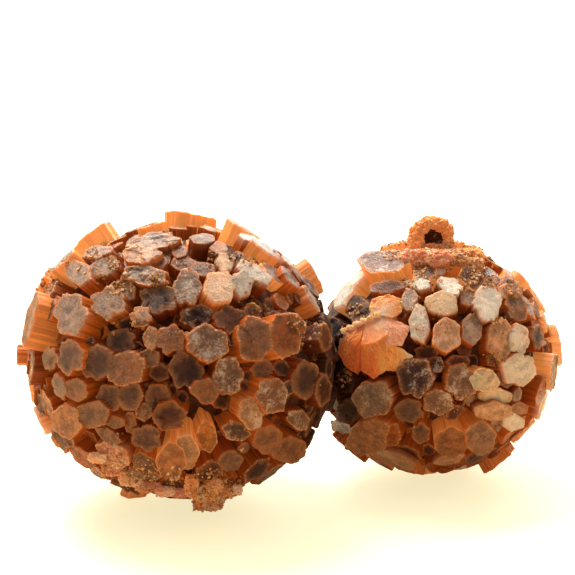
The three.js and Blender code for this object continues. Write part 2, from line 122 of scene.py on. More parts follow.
smallEnds = [
    [-8.0, 15.1, 6.8, 3.0, 10, 0.8], [-7.3, 11.1, 5.5, 1.8, 12, 0.0], [-3.8, 9.2, 2.6, 3.4, 0, 0.3],
    [-11.8, 7.7, 3.4, 4.2, 0, -0.4], [-16.0, 4.7, 3.4, 3.3, 0, -0.2], [-7.4, 8.3, 4.8, 2.8, 10, 0.4],
    [-2.3, 5.3, 2.9, 5.4, 0, 0.4], [-1.2, 0.9, 3.4, 2.2, 0, -1.2], [2.5, 11.3, 3.8, 2.6, -25, 0.5],
    [8.4, 8.6, 4.2, 5.1, 0, 0.8], [1.2, 8.6, 4.9, 3.4, -5, 0.8], [7.5, 6.3, 3.2, 2.2, 0, 0.0],
    [5.9, 4.5, 2.7, 4.5, 0, 0.1], [2.0, 3.6, 3.9, 4.9, 0, 0.8], [10.3, 2.9, 3.1, 6.2, 0, 0.5],
    [13.3, 2.9, 2.7, 4.6, 0, 1.0], [-9.6, -6.4, 5.7, 5.0, 0, 0.9], [-13.0, -8.1, 3.7, 3.6, 0, -0.3],
    [-14.5, -10.8, 3.5, 2.0, 0, -0.3], [-10.3, -12.4, 5.8, 4.7, 0, 0.4], [-6.4, -12.0, 2.4, 3.2, 0, 0.0],
    [-3.9, -8.2, 4.4, 3.6, 0, 0.2], [-2.9, -3.0, 5.5, 5.6, 0, 0.6], [-2.0, -11.7, 2.6, 3.1, 0, -0.2],
    [0.6, -6.9, 4.2, 4.0, 0, 0.4], [4.2, -3.7, 4.7, 5.0, 0, 0.5], [7.9, -3.5, 4.1, 3.3, 0, 1.0],
    [9.6, -5.9, 4.5, 2.4, 0, 0.4], [9.3, -8.3, 5.2, 3.0, 0, 1.0], [13.3, -1.8, 4.5, 4.8, 0, 0.8],
    [11.1, -3.1, 2.7, 3.0, 0, -0.1], [12.4, -10.0, 3.1, 2.7, 0, 0.3], [2.6, -13.1, 4.9, 4.5, 0, 0.5],
    [7.3, -12.4, 4.7, 4.7, 0, 0.6],
]
smallTones = "MmpPdaCdccWtpNncPmdeosDmGGwWNCsCtg"

# Ends along the outline: the angle round it from +X, the lean to the eye, the reach, the width and the depth.
largeRim = [
    [33, -2, 23.6, 5.5, 4.5], [37, 22, 22.0, 4.3, 3.6], [26, 18, 22.6, 4.6, 3.6], [53, 15, 21.7, 5.0, 3.5],
    [65, 2, 21.9, 5.4, 4.0], [87, -3, 21.9, 7.0, 5.0], [105, 4, 20.9, 5.4, 4.0], [126, 0, 23.4, 7.0, 4.5],
    [140, 14, 23.9, 5.0, 4.0], [151, 5, 24.2, 4.5, 4.0], [164, 22, 24.8, 7.8, 5.0], [178, 2, 24.8, 3.0, 3.5],
    [184, 0, 23.4, 2.2, 3.0], [190, -3, 23.3, 4.4, 4.0], [203, 8, 23.3, 4.3, 4.0], [221, -4, 21.6, 5.0, 4.0],
    [235, -2, 20.2, 4.8, 4.0], [251, -5, 20.3, 3.9, 4.0], [261, -4, 20.2, 3.4, 3.0], [270, -6, 20.9, 2.6, 3.0],
    [295, 5, 20.6, 3.4, 3.6], [306, 0, 21.3, 3.9, 4.0], [328, 2, 22.7, 3.0, 3.0],
]
largeRimTones = "egpppyoepttyeocebobootd"
smallRim = [
    [146, 24, 18.9, 4.4, 3.2], [138, 22, 18.7, 4.8, 3.2], [109, -8, 18.9, 4.6, 4.0], [92, 20, 17.3, 7.2, 5.0],
    [75, 20, 17.0, 3.6, 3.0], [74, -6, 18.5, 5.2, 4.0], [64, 5, 17.2, 2.0, 2.5], [54, -3, 17.2, 3.6, 3.5],
    [57, 15, 16.6, 2.4, 2.4], [47, 18, 17.6, 3.0, 2.5], [41, 0, 18.4, 4.4, 4.0], [29, 2, 18.5, 3.8, 4.0],
    [19, 12, 18.2, 3.2, 3.5], [6, -4, 19.5, 5.8, 4.0], [354, 22, 19.5, 5.0, 3.8], [337, 18, 18.7, 4.5, 4.0],
    [321, -2, 18.3, 4.6, 4.0], [303, -6, 19.3, 5.7, 4.6], [276, 4, 17.1, 5.8, 4.0], [257, 5, 17.9, 4.4, 4.2],
    [242, 7, 18.3, 4.4, 4.0], [227, -5, 19.4, 6.2, 4.0],
]
smallRimTones = "ccaEeaeoeeoeenpcnocboo"

# Crystals that the cluster stands on: across and back from under the ball's centre, width and depth.
largeFeet = [[-1.0, 4.0, 7.0, 6.0], [-7.5, 2.0, 4.6, 4.4], [5.0, 7.5, 4.6, 4.6]]
smallFeet = [[-1.0, 2.5, 6.0, 5.0], [3.8, 4.0, 4.0, 4.0]]

# How bright an orange the sides of some crystals are, partly their own colour and partly a painted backlit glow, by
# their
# place in the lists above: front ones from 0 on, those along the outline from 100 on.
largeSides = {
    1: 0.9, 3: 1.0, 7: 0.8, 12: 1.1, 21: 1.0, 27: 0.9, 31: 0.9, 41: 1.0, 42: 1.2, 44: 1.0, 45: 1.1, 46: 0.9,
    54: 1.5, 55: 1.4, 56: 1.3, 100: 1.5, 101: 1.0, 102: 1.2, 103: 1.6, 104: 1.9, 105: 1.8, 106: 1.8, 107: 2.0,
    108: 1.7, 109: 1.6, 110: 1.4, 113: 1.9, 114: 1.5, 115: 1.5,
}
smallSides = {
    0: 1.7, 5: 1.2, 13: 1.0, 16: 0.9, 19: 1.1, 25: 0.9, 26: 1.3, 29: 0.9, 32: 1.3, 33: 1.1, 100: 1.6, 101: 1.7,
    102: 1.9, 105: 1.9, 107: 1.7, 110: 1.8, 111: 1.9, 112: 1.6, 113: 1.9, 114: 1.7, 115: 1.0, 116: 1.4, 117: 1.15,
}

# Small crystals wedged between the large ones at the front.
largeWedged = [
    [-19.2, 8.8, 1.8, 2.0, 0, -0.6], [3.0, 18.3, 3.6, 1.5, 0, 0.4], [-2.6, 16.0, 1.8, 3.0, 0, -0.4],
    [-0.5, 16.5, 2.2, 2.2, 0, 0.1], [10.4, 7.4, 2.3, 2.2, 0, -0.3], [-8.3, 5.3, 2.6, 2.2, 0, -0.8],
    [7.6, 3.2, 1.6, 2.0, 0, -0.6], [-5.9, -7.8, 2.4, 2.6, 0, -0.1], [-0.1, -5.7, 1.8, 2.2, 0, -0.9],
    [14.9, -1.2, 2.2, 2.2, 0, -1.0], [9.5, -2.4, 1.7, 1.6, 0, -0.7], [15.9, -4.2, 1.8, 2.4, 0, -0.3],
    [-10.4, -9.4, 2.9, 2.0, 0, -0.4], [-7.9, -9.4, 1.9, 2.9, 0, -0.6], [-5.8, -17.2, 5.0, 1.2, -13, 0.0],
    [-6.9, 2.1, 1.8, 1.4, 0, -1.0], [-5.5, -4.9, 1.2, 2.7, 0, -0.8], [-1.4, -4.4, 1.3, 1.7, 0, -0.9],
    [8.0, 4.6, 1.6, 0.9, 0, -0.5], [9.2, -13.2, 1.6, 1.9, 0, -0.4], [9.2, -3.9, 1.5, 1.5, 0, -0.8],
    [-14.0, 2.9, 1.5, 1.3, 0, -0.7], [5.6, -18.7, 2.0, 1.0, 0, -0.6], [5.4, 16.9, 2.6, 1.8, 0, 0.0],
    [8.2, 15.2, 2.2, 2.0, 0, -0.2], [-3.4, 14.8, 2.0, 1.8, 0, -0.2],
]
largeWedgedTones = "gpmttdDgdddDgtpdgdtgbDgegg"
smallWedged = [
    [-2.1, 11.5, 3.0, 1.8, 5, 0.3], [0.8, 13.6, 1.9, 1.4, 0, -0.3], [5.4, 9.5, 2.1, 2.4, 0, 0.2],
    [9.6, -0.2, 2.6, 2.4, 0, -0.1], [3.8, -0.5, 3.3, 1.8, 0, -0.4], [-15.6, -6.8, 2.4, 2.4, 0, -0.8],
    [-0.8, -14.2, 2.0, 1.8, 0, -0.4], [3.2, -8.4, 3.0, 1.9, 35, 0.0], [5.8, -6.6, 2.0, 1.5, 0, -0.6],
    [13.3, -7.8, 2.2, 2.0, 0, 0.0], [12.6, 7.2, 2.4, 2.2, 0, -0.3], [0.4, -1.0, 2.4, 2.2, 0, -0.8],
    [-5.1, 7.0, 1.8, 1.8, 0, -0.4], [9.7, -10.5, 1.5, 1.8, 0, -0.4], [4.4, -15.5, 1.2, 1.3, 0, -0.4],
    [13.0, -5.8, 1.0, 2.4, -20, -0.3], [14.3, 7.6, 1.6, 2.0, 0, -0.5], [-4.4, 11.8, 1.6, 1.4, 0, -0.2],
    [-13.1, 10.2, 1.2, 2.6, 0, -0.6], [6.2, 12.4, 2.8, 1.9, 10, 0.3], [8.8, 11.9, 2.2, 1.8, 0, 0.3],
    [11.2, 10.4, 2.4, 2.2, 0, 0.2], [-6.4, -15.7, 7.4, 2.4, -14, 0.5], [2.4, -15.8, 4.8, 1.8, 5, 0.4],
]
smallWedgedTones = "ccpmbddbptPDbptpbtgngnNn"

# The broken bundle on the small ball: solid wedges of fibres that spread from one spot. Each wedge: how strong its
# streaks are, the tone at each corner, and its corners across, up and proud of the ball.
bundleApex = [-8.4, 6.9, 0.3]
bundleRoot = [-9.0, 1.8, -7.0]
bundleTones = {"R": (0.78, 0.165, 0.030), "O": (1.0, 0.31, 0.065), "P": (1.0, 0.47, 0.27), "Y": (1.0, 0.47, 0.13),
               "C": (1.0, 0.76, 0.52), "A": (1.0, 0.40, 0.14)}
bundleWedges = [
    [0.9, "PCRRRROO", [[-10.4, 5.9, 0.5], [-14.2, 4.3, -0.4], [-14.9, 0.9, -0.8], [-13.8, -1.2, -0.2],
                       [-11.7, -2.6, 0.0], [-12.0, 1.6, 1.4], [-11.2, 3.6, 1.4], [-13.2, 3.4, 0.6]]],
    [0.6, "CPORRYOO", [[-8.0, 6.9, 1.2], [-10.8, 5.8, 0.7], [-11.2, 2.0, 1.6], [-11.3, -2.1, 0.5],
                       [-9.3, -3.3, 0.4], [-7.4, -2.0, 0.6], [-9.0, 2.4, 2.3], [-7.2, 3.6, 2.1]]],
    [1.0, "PPPPP", [[-8.0, 6.8, 1.2], [-3.7, 4.9, 0.2], [-4.8, 1.8, 0.9], [-7.3, 2.1, 2.1], [-7.8, 4.6, 2.0]]],
    [1.0, "OYCYO", [[-8.4, 2.8, 2.2], [-4.9, 1.6, 0.9], [-3.3, 0.3, 0.2], [-5.9, -2.0, 0.3], [-8.1, -1.9, 0.6]]],
    [0.4, "CAAAAAC", [[-10.1, 6.4, 0.8], [-9.4, 8.0, 0.9], [-7.4, 9.4, 0.8], [-5.3, 8.9, 0.6], [-4.9, 7.3, 0.5],
                      [-6.4, 6.2, 1.1], [-8.2, 6.7, 1.6]]],
]

# The stub on top of the small ball is an arch of lumps round a dark hole. Each row: across, up, how far in front of
# the ball's middle plane, and the lump's width, height and depth.
stubLumps = [
    [-2.8, 17.9, 0.6, 2.5, 3.0, 3.4], [-2.7, 19.2, 0.6, 2.3, 2.6, 3.2], [-1.9, 20.2, 0.5, 2.3, 2.1, 3.2],
    [-0.8, 20.9, 0.3, 2.2, 2.0, 3.0], [0.2, 20.9, 0.3, 2.2, 1.9, 3.0], [1.2, 20.5, 0.4, 2.3, 2.1, 3.0],
    [2.1, 19.6, 0.5, 1.9, 2.3, 3.0], [2.3, 18.4, 0.6, 1.4, 2.7, 3.0], [2.2, 17.4, 0.7, 1.8, 2.2, 2.8],
    [-0.4, 16.7, 0.9, 5.0, 1.9, 2.8], [0.1, 18.8, -1.6, 4.6, 4.4, 2.0],
    [-1.2, 18.6, -3.0, 3.2, 4.2, 2.2], [1.3, 18.4, -3.0, 3.2, 4.0, 2.2],
]
# the dark tone of the lump behind the arch paints the shade in the hole
stubTones = "aaaaaaaaeedaa"
# The crust of tiny crystals below the stub, other rough patches on the small ball, and the crust under the large
# ball's front: across, up, how far proud, width, height and depth.
crustLumps = [
    [-2.8, 15.4, 0.3, 4.6, 2.7, 3.6], [0.6, 15.3, 0.4, 4.2, 2.6, 3.6], [3.6, 15.0, 0.2, 3.4, 2.2, 3.0],
    [6.2, 14.3, 0.1, 2.8, 2.2, 2.6], [5.4, 15.9, 0.0, 4.6, 1.8, 3.0], [-13.7, 4.2, -0.1, 1.3, 0.9, 1.2],
    [-12.8, 4.7, 0.4, 1.2, 0.8, 1.2], [-11.8, 5.3, 0.8, 1.3, 0.8, 1.2], [-10.8, 5.7, 0.9, 1.2, 0.9, 1.2],
    [-9.7, 6.1, 1.1, 1.4, 0.8, 1.2], [-8.6, 6.7, 1.2, 1.2, 0.9, 1.2],
]
crustTones = "kknnawwwwww"
largeCrustLumps = [
    [-12.6, -14.6, 0.2, 3.0, 1.6, 2.6], [-10.4, -16.5, 0.0, 3.4, 1.7, 2.8], [-7.8, -18.0, 0.0, 3.4, 1.7, 3.0],
    [-5.2, -19.0, 0.0, 3.6, 1.6, 3.0], [-2.6, -19.7, 0.0, 3.2, 1.5, 3.0], [-0.4, -19.9, 0.0, 2.6, 1.5, 2.6],
]
largeCrustTones = "wkwkwk"

# The lumps of the foot at the front: across and up from the large ball's centre as the eye sees them, how far
# proud of the ball, and the lump's width, height and depth.
footLumps = [
    [1.3, -18.9, 0.6, 1.9, 3.2, 2.6], [2.5, -19.8, 0.7, 1.6, 1.9, 2.2], [3.0, -21.0, -1.4, 2.8, 2.8, 3.4],
    [4.4, -21.2, -1.2, 3.0, 2.6, 3.6], [3.6, -20.0, -0.3, 3.4, 2.6, 3.6], [5.2, -20.2, -0.2, 2.6, 2.2, 3.0],
    [6.6, -19.8, 0.0, 2.6, 1.6, 2.2], [7.9, -19.5, 0.1, 2.0, 1.5, 2.0], [4.6, -18.8, 0.2, 2.8, 2.0, 2.6],
]
footTones = "awawawawa"

# Grit: across, up, how wide the patch is, how thick the grit lies there and how pale it is.
largeGrit = [
    [-4.0, 12.3, 1.5, 1.0, 0.45], [-10.3, 15.0, 1.6, 0.9, 0.35], [-10.2, 11.2, 1.7, 1.0, 0.45],
    [-12.5, 12.3, 1.3, 0.8, 0.3],
    [-8.2, 11.4, 1.4, 0.9, 0.5], [-13.6, 15.8, 1.2, 0.6, 0.4], [8.0, 16.2, 1.5, 1.0, 0.05],
    [10.0, 15.6, 1.4, 1.0, 0.1], [4.6, 15.2, 1.6, 0.7, 0.3], [10.6, 10.6, 1.6, 0.6, 0.15],
    [18.4, 5.0, 3.4, 0.5, 0.3], [-20.4, 11.6, 2.0, 0.7, 0.4], [-11.0, 4.8, 1.6, 0.6, 0.5],
    [-7.0, 5.4, 1.5, 0.5, 0.3], [-6.0, -17.6, 3.0, 0.5, 0.8], [-10.5, -15.8, 2.4, 0.5, 0.8],
    [4.0, -18.5, 2.6, 0.5, 0.8], [7.0, -18.8, 2.0, 0.5, 0.8], [8.6, -12.6, 1.2, 0.4, 0.4],
    [-1.5, -17.6, 1.8, 0.5, 0.8], [0.0, 4.5, 1.2, 0.4, 0.3], [12.0, 7.6, 1.6, 0.5, 0.2],
]
smallGrit = [
    [-6.4, 17.6, 2.6, 0.9, 0.75], [-3.6, 18.0, 1.6, 0.7, 0.6], [5.4, 17.6, 2.8, 0.9, 0.75],
    [7.6, 16.0, 1.8, 0.7, 0.6],
    [5.0, 12.0, 1.4, 1.0, 0.5], [6.6, 13.0, 1.6, 0.9, 0.35], [0.2, 12.1, 1.0, 0.9, 0.5],
    [-2.1, 13.3, 1.2, 1.0, 0.95], [-1.5, 16.0, 2.6, 0.8, 0.6], [2.6, 15.2, 2.0, 0.9, 0.45],
    [6.5, 14.6, 2.0, 0.8, 0.3], [-2.0, 4.4, 1.1, 0.7, 0.2], [8.4, 11.6, 1.4, 0.8, 0.3], [12.4, 11.0, 1.8, 0.5, 0.3],
    [-12.0, 7.2, 1.6, 0.5, 0.6], [-13.4, 4.4, 0.9, 1.0, 0.95], [-11.8, 5.2, 0.8, 1.0, 0.95],
    [-10.3, 5.9, 0.8, 1.0, 0.95], [-8.9, 6.4, 0.7, 0.9, 0.95], [-12.9, 2.8, 0.5, 0.8, 0.95],
    [-9.6, 1.4, 0.6, 0.6, 0.95], [9.8, 0.2, 1.6, 0.5, 0.4], [3.6, -7.2, 1.4, 0.5, 0.5], [-3.6, 11.6, 1.4, 0.7, 0.6],
    [10.0, 5.8, 1.2, 0.4, 0.4], [-14.0, -3.0, 1.5, 0.5, 0.3],
]
crustGrit = [[-1.5, 16.4, 5.0, 0.16, 0.6], [5.0, 14.8, 3.0, 0.5, 0.5]]
footGrit = [[4.0, -20.0, 4.5, 0.8, 0.9]]


# Nodes: short helpers that every tree below is built with.
class Wire:
    # what comes out of a node; a sum with it becomes a Math or Vector Math node
    def __init__(self, socket):
        self.socket = socket

    def __add__(self, other):
        return worked("ADD", self, other)

    def __sub__(self, other):
        return worked("SUBTRACT", self, other)

    def __rsub__(self, other):
        return worked("SUBTRACT", other, self)

    def __mul__(self, other):
        return worked("MULTIPLY", self, other)

    def __truediv__(self, other):
        return worked("DIVIDE", self, other)

    def __rtruediv__(self, other):
        return worked("DIVIDE", other, self)


def put(tree, kind, inputs=None, **settings):
    node = tree.nodes.new(kind)
    for name, value in settings.items():
        setattr(node, name, value)
    for key, value in (inputs or {}).items():
        if isinstance(value, Wire):
            tree.links.new(value.socket, node.inputs[key])
        else:
            node.inputs[key].default_value = value
    return node


def wire(tree, kind, inputs=None, out=0, **settings):
    return Wire(put(tree, kind, inputs, **settings).outputs[out])


def wires(sockets):
    return {socket.name: Wire(socket) for socket in sockets}


def home(*values):
    return next(value.socket.id_data for value in values if isinstance(value, Wire))


def isWide(value):
    return isinstance(value, tuple) or isinstance(value, Wire) and value.socket.type in ("VECTOR", "RGBA")


def worked(operation, a, b):
    if operation == "MULTIPLY" and isWide(a) and not isWide(b):
        return wire(home(a, b), "ShaderNodeVectorMath", {0: a, "Scale": b}, operation="SCALE")
    return (along if isWide(a) else calc)(operation, a, b)


def calc(operation, a, b=0.0, clamp=False):
    return wire(home(a, b), "ShaderNodeMath", {0: a, 1: b}, operation=operation, use_clamp=clamp)


def along(operation, a, b=(0, 0, 0)):
    out = 1 if operation in ("LENGTH", "DOT_PRODUCT") else 0
    return wire(home(a, b), "ShaderNodeVectorMath", {0: a, 1: b}, out, operation=operation)


def blend(factor, a, b, mode="MIX"):
    return wire(home(factor, a, b), "ShaderNodeMix", {0: factor, 6: a, 7: b}, 2, data_type="RGBA", blend_type=mode)


def span(value, low, high, start=0.0, end=1.0, smooth=True):
    return wire(home(value), "ShaderNodeMapRange", {0: value, 1: low, 2: high, 3: start, 4: end},
                interpolation_type="SMOOTHSTEP" if smooth else "LINEAR")


def noise(vector, scale, detail=2.0, roughness=0.5, distortion=0.0, out=0):
    return wire(home(vector), "ShaderNodeTexNoise", {
        "Vector": vector, "Scale": scale, "Detail": detail, "Roughness": roughness, "Distortion": distortion}, out)


def split(vector):
    return [Wire(socket) for socket in put(home(vector), "ShaderNodeSeparateXYZ", {0: vector}).outputs]


def joined(x, y, z=0.0):
    return wire(home(x, y, z), "ShaderNodeCombineXYZ", {0: x, 1: y, 2: z})


def openTree(name, kind, inputs, outputs):
    tree = bpy.data.node_groups.new(name, kind)
    for label, socketKind, value in inputs:
        socket = tree.interface.new_socket(label, in_out="INPUT", socket_type="NodeSocket" + socketKind)
        if value is not None:
            socket.default_value = value
    for label, socketKind in outputs:
        tree.interface.new_socket(label, in_out="OUTPUT", socket_type="NodeSocket" + socketKind)
    return tree, wires(put(tree, "NodeGroupInput").outputs)


def geometryTree(name, inputs):
    shape = [("Geometry", "Geometry", None)]
    return openTree(name, "GeometryNodeTree", shape + inputs + [("Material", "Material", None)],
                    [("Geometry", "Geometry")])


def stored(tree, label, kind="FLOAT"):
    return wire(tree, "GeometryNodeInputNamedAttribute", {"Name": label}, data_type=kind)


def storedVector(tree, label):
    return stored(tree, label, "FLOAT_VECTOR")


def keep(tree, shape, label, value, kind="FLOAT"):
    return wire(tree, "GeometryNodeStoreNamedAttribute", {"Geometry": shape, "Name": label, "Value": value},
                data_type=kind, domain="POINT")


def position(tree):
    return wire(tree, "GeometryNodeInputPosition")


def moveTo(tree, shape, spot):
    return wire(tree, "GeometryNodeSetPosition", {"Geometry": shape, "Position": spot})


def aboveFloor(spot):
    x, y, z = split(spot)
    return joined(x, y, calc("MAXIMUM", z, 0.0))


def realized(tree, shape):
    return wire(tree, "GeometryNodeRealizeInstances", {"Geometry": shape})


def closeTree(tree, shape, material, dropped):
    # drops the attributes that no finish reads, and ends the tree
    for label in dropped:
        shape = wire(tree, "GeometryNodeRemoveAttribute", {"Geometry": shape, "Name": label})
    shape = wire(tree, "GeometryNodeSetMaterial", {"Geometry": realized(tree, shape), "Material": material})
    put(tree, "NodeGroupOutput", {0: shape})
    return tree


def inScene(name, data):
    thing = bpy.data.objects.new(name, data)
    bpy.context.scene.collection.objects.link(thing)
    return thing


def grow(name, mesh, tree, values):
    # runs a tree on a mesh and keeps the result as a plain mesh object
    seedling = inScene(name + "_seed", mesh)
    modifier = seedling.modifiers.new("grow", "NODES")
    modifier.node_group = tree
    for item in tree.interface.items_tree:
        if item.in_out == "INPUT" and item.name in values:
            modifier[item.identifier] = values[item.name]
    graph = bpy.context.evaluated_depsgraph_get()
    grown = bpy.data.meshes.new_from_object(seedling.evaluated_get(graph), preserve_all_data_layers=True,
                                            depsgraph=graph)
    bpy.data.objects.remove(seedling)
    bpy.data.meshes.remove(mesh)
    grown.name = name
    return inScene(name, grown)


# Crystals: every one is a point with its six corners, which the tree turns into a fine prism.
crystalLook = {
    "crevice": 1.12,         # how wide a crystal is against its place: the edge bevel takes the rest back
    "cornerSpread": 0.34,    # how far a corner strays, as a share of the sixth of a turn between corners
    "slant": 0.28,           # how far an end leans at most
    "leastFacing": 0.32,     # an end that faces further away than this is widened no more to show its full width
    "frosted": 0.25,         # how frosted an end gets at most, if its letter is no capital
    "brightest": 0.95,
    "frontWarmth": (0.2, 0.85), "frontPower": 1.3,
}
# the sides along the outline get a painted backlit glow, stronger at the top, and painted shade towards the neck
rimLook = {"warmth": 1.1, "topWarmer": 0.7, "neckCooler": 1.2}
feetLook = {"proud": 0.8, "tone": "o", "warmth": 1.5}
spreadLook = {               # crystals that are spread over the sides that face away
    "candidates": 2600, "step": 907, "widths": (3.4, 6.2), "power": 1.2, "spacing": 0.88, "topWarmer": 0.9,
    "unevenness": 1.5,
    "shy": 1.5, "topShy": 2.6,   # how much lower they stay along the outline that the eye sees, and at its top
}
fillLook = {                 # small crystals that fill the gaps
    "candidates": 7000, "step": 3001, "widths": (1.7, 4.4), "power": 1.6, "spacing": 0.74, "topWarmer": 0.0,
    "sunk": 0.3, "deeper": 1.5,
    "frontDeeper": 1.7,          # how much deeper they lie where the eye sees them
}
bothLook = {                 # the shapes of both, against their widths
    "wide": (0.9, 1.15), "high": (0.8, 1.1), "warmth": (0.3, 1.1),
    "buried": 0.98,              # tips that lie within this share of the other ball are left out
}


def drawn(limits, seed, power=1.0):
    # a number between two limits, drawn nearer to the first one for a higher power
    return limits[0] + (limits[1] - limits[0]) * chance(seed) ** power


def hexagon(width, height, turn, seed):
    phase = math.pi / 3 * chance(seed + 0.3)
    corners = []
    for i in range(6):
        angle = phase + (i + crystalLook["cornerSpread"] * (chance(seed + i) - 0.5)) * math.pi / 3
        corners.append((math.cos(angle), math.sin(angle)))
    wide = max(abs(corner[0]) for corner in corners)
    high = max(abs(corner[1]) for corner in corners)
    turned = math.radians(turn)
    places = []
    for x, y in corners:
        x *= width / wide * crystalLook["crevice"] / 2
        y *= height / high * crystalLook["crevice"] / 2
        places.append((x * math.cos(turned) - y * math.sin(turned), x * math.sin(turned) + y * math.cos(turned)))
    return places


def endDirections(axis, level):
    side = level.cross(axis).normalized()
    return side, axis.cross(side)


# Painted shade, with some dirt, darkens the crystals round the neck between the balls, less far out on the small
# ball.
neckShadeLook = {
    "place": largeBall["centre"].lerp(smallBall["centre"], 0.55), "near": 12.0, "far": 20.5, "smallBall": 4.8,
    "dim": 0.86,
}


def crystal(ball, tip, side, rise, corners, tone, seed, warmth, dimmed=True):
    # warmth is how bright an orange the sides are, from almost black in the painted shade of the neck at -1 over dark
    # red brown at 0 to a painted backlit glow of yellow at 2
    shift = 0 if ball is largeBall else neckShadeLook["smallBall"]
    dim = neckShadeLook["dim"] * span01(neckShadeLook["far"] - shift, neckShadeLook["near"] - shift,
                                   (tip - neckShadeLook["place"]).length) * dimmed
    warmth = warmth * (1 - dim) - dim
    rough = (1.0 if tone.isupper() else crystalLook["frosted"] * chance(seed + 0.7)) * (1 - dim)
    slant = (side * (chance(seed + 0.81) - 0.5) + rise * (chance(seed + 0.82) - 0.5)) * crystalLook["slant"]
    shade = [min(crystalLook["brightest"], part * (1 - dim) * ball["bright"]) for part in tones[tone.lower()]]
    return {
        "tip": tip, "centre": ball["centre"], "corners": [tip + side * x + rise * y for x, y in corners],
        "tone": shade, "rough": rough, "warmth": warmth, "slant": slant, "seed": seed % 977,
        "notched": chance(seed + 0.9),
    }


def frontCrystal(ball, row, tone, seed, warmth=None):
    across, up, width, height, turn, proud = row
    tip = seenPoint(ball, across, up, proud)
    axis = (tip - ball["centre"]).normalized()
    sight = (eyePlace - tip).normalized()
    lean = max(sight.dot(axis), crystalLook["leastFacing"])
    side, rise = endDirections(axis, upward)
    corners = []
    for x, y in hexagon(width, height, turn, seed):
        place = right * x + upward * y
        place -= sight * (place.dot(axis) / lean)
        corners.append((place.dot(side), place.dot(rise)))
    size = max(abs(corner[0]) for corner in corners) + max(abs(corner[1]) for corner in corners)
    if warmth is None:
        warmth = drawn(crystalLook["frontWarmth"], seed + 0.6, crystalLook["frontPower"])
    return axis, size, crystal(ball, tip, side, rise, corners, tone, seed, warmth)


def rimCrystal(ball, row, tone, seed, warmth=None):
    around, lean, reach, width, depth = row
    turned, leaned = math.radians(around), math.radians(lean)
    axis = (right * math.cos(turned) + upward * math.sin(turned)) * math.cos(leaned) + towardEye * math.sin(leaned)
    tip = ball["centre"] + axis * reach
    side, rise = endDirections(axis, towardEye)
    towardNeck = math.cos(turned) if ball is largeBall else -math.cos(turned)
    dimmed = warmth is None
    if warmth is None:
        warmth = (rimLook["warmth"] + rimLook["topWarmer"] * max(0, math.sin(turned))
                  - rimLook["neckCooler"] * span01(0.55, 0.95, towardNeck))
    corners = hexagon(width, depth, 0, seed)
    return axis, (width + depth) / 2, crystal(ball, tip, side, rise, corners, tone, seed, warmth, dimmed)


def footCrystal(ball, row, seed):
    across, back, width, depth = row
    tip = ball["centre"] + Vector((across, back, -ball["centre"].z))
    axis = (tip - ball["centre"]).normalized()
    tip += axis * feetLook["proud"]
    side, rise = endDirections(axis, right)
    corners = hexagon(width, depth, 0, seed)
    return axis, (width + depth) / 2, crystal(ball, tip, side, rise, corners, feetLook["tone"], seed,
                                              feetLook["warmth"])


def farTone(spot, seed):
    # pale tones are commoner near the top, partly as painted light from above, and the ones that show in the gaps at
    # the front are dark, as painted shade
    letters = "mgtbomogdTGb" if spot.z < 0.35 else "pgepctPmyptG"
    if spot.dot(towardEye) > 0.3:
        letters = "mobgdomrmgbo"
    return letters[int(chance(seed + 0.33) * len(letters))]


def spreadCrystals(ball, otherBall, taken, seed, look):
    # spots spread evenly round the ball; each one grows a crystal unless it would crowd one that is there already
    grown = []
    meanRadius = sum(ball["radii"]) / 3
    goldenAngle = math.pi * (3 - math.sqrt(5))
    count = look["candidates"]
    for i in range(count):
        k = (i * look["step"]) % count
        z = 1 - (2 * k + 1) / count
        flat = math.sqrt(1 - z * z)
        spot = Vector((flat * math.cos(k * goldenAngle), flat * math.sin(k * goldenAngle), z))
        size = drawn(look["widths"], seed + k, look["power"])
        if any(spot.dot(axis) > math.cos(look["spacing"] * (size + other) / 2 / meanRadius) for axis, other in taken):
            continue
        tip = times(spot, ball["radii"])
        axis = tip.normalized()
        facing = axis.dot(towardEye)
        if look is fillLook:
            tip -= axis * (look["sunk"] + look["deeper"] * chance(seed + k + 0.5)
                           + look["frontDeeper"] * span01(0.25, 0.5, facing))
        else:
            tip += axis * look["unevenness"] * (chance(seed + k + 0.5) - 0.5)
            tip -= axis * look["shy"] * span01(0.45, 0.15, abs(facing))
            tip -= axis * look["topShy"] * span01(0.55, 0.75, axis.dot(upward)) * span01(
                0.55, 0.40, facing) * span01(-0.06, 0.04, facing)
        tip += ball["centre"]
        if parts(tip - otherBall["centre"], otherBall["radii"]).length < bothLook["buried"] or tip.z <= 0:
            continue
        side, rise = endDirections(axis, right if abs(axis.z) > 0.9 else Vector((0, 0, 1)))
        width = size * drawn(bothLook["wide"], seed + k + 0.1)
        height = size * drawn(bothLook["high"], seed + k + 0.2)
        corners = hexagon(width, height, 180 * chance(seed + k + 0.4), seed + k)
        taken.append((spot, size))
        # a painted backlit glow warms the sides near the top
        warmth = drawn(bothLook["warmth"], seed + k + 0.6) + look["topWarmer"] * span01(0.5, 0.8, spot.z)
        grown.append(crystal(ball, tip, side, rise, corners, farTone(spot, seed + k), seed + k, warmth))
    return grown


def eyePoint(ball, across, up, forward):
    # a place as the eye sees it in the plane through the ball's centre, moved towards the eye
    place = ball["centre"] + right * across + upward * up
    return place + (eyePlace - place).normalized() * forward


def asSeen(ball, point):
    # where the eye sees a point in the plane through the ball's centre, and how far in front of it the point is
    fromCentre, fromEye = point - ball["centre"], eyePlace - ball["centre"]
    forward, away = fromCentre.dot(towardEye), fromEye.dot(towardEye)
    shrink = away / (away - forward)
    across = fromEye.dot(right) + (fromCentre.dot(right) - fromEye.dot(right)) * shrink
    return across, fromEye.dot(upward) + (fromCentre.dot(upward) - fromEye.dot(upward)) * shrink, forward


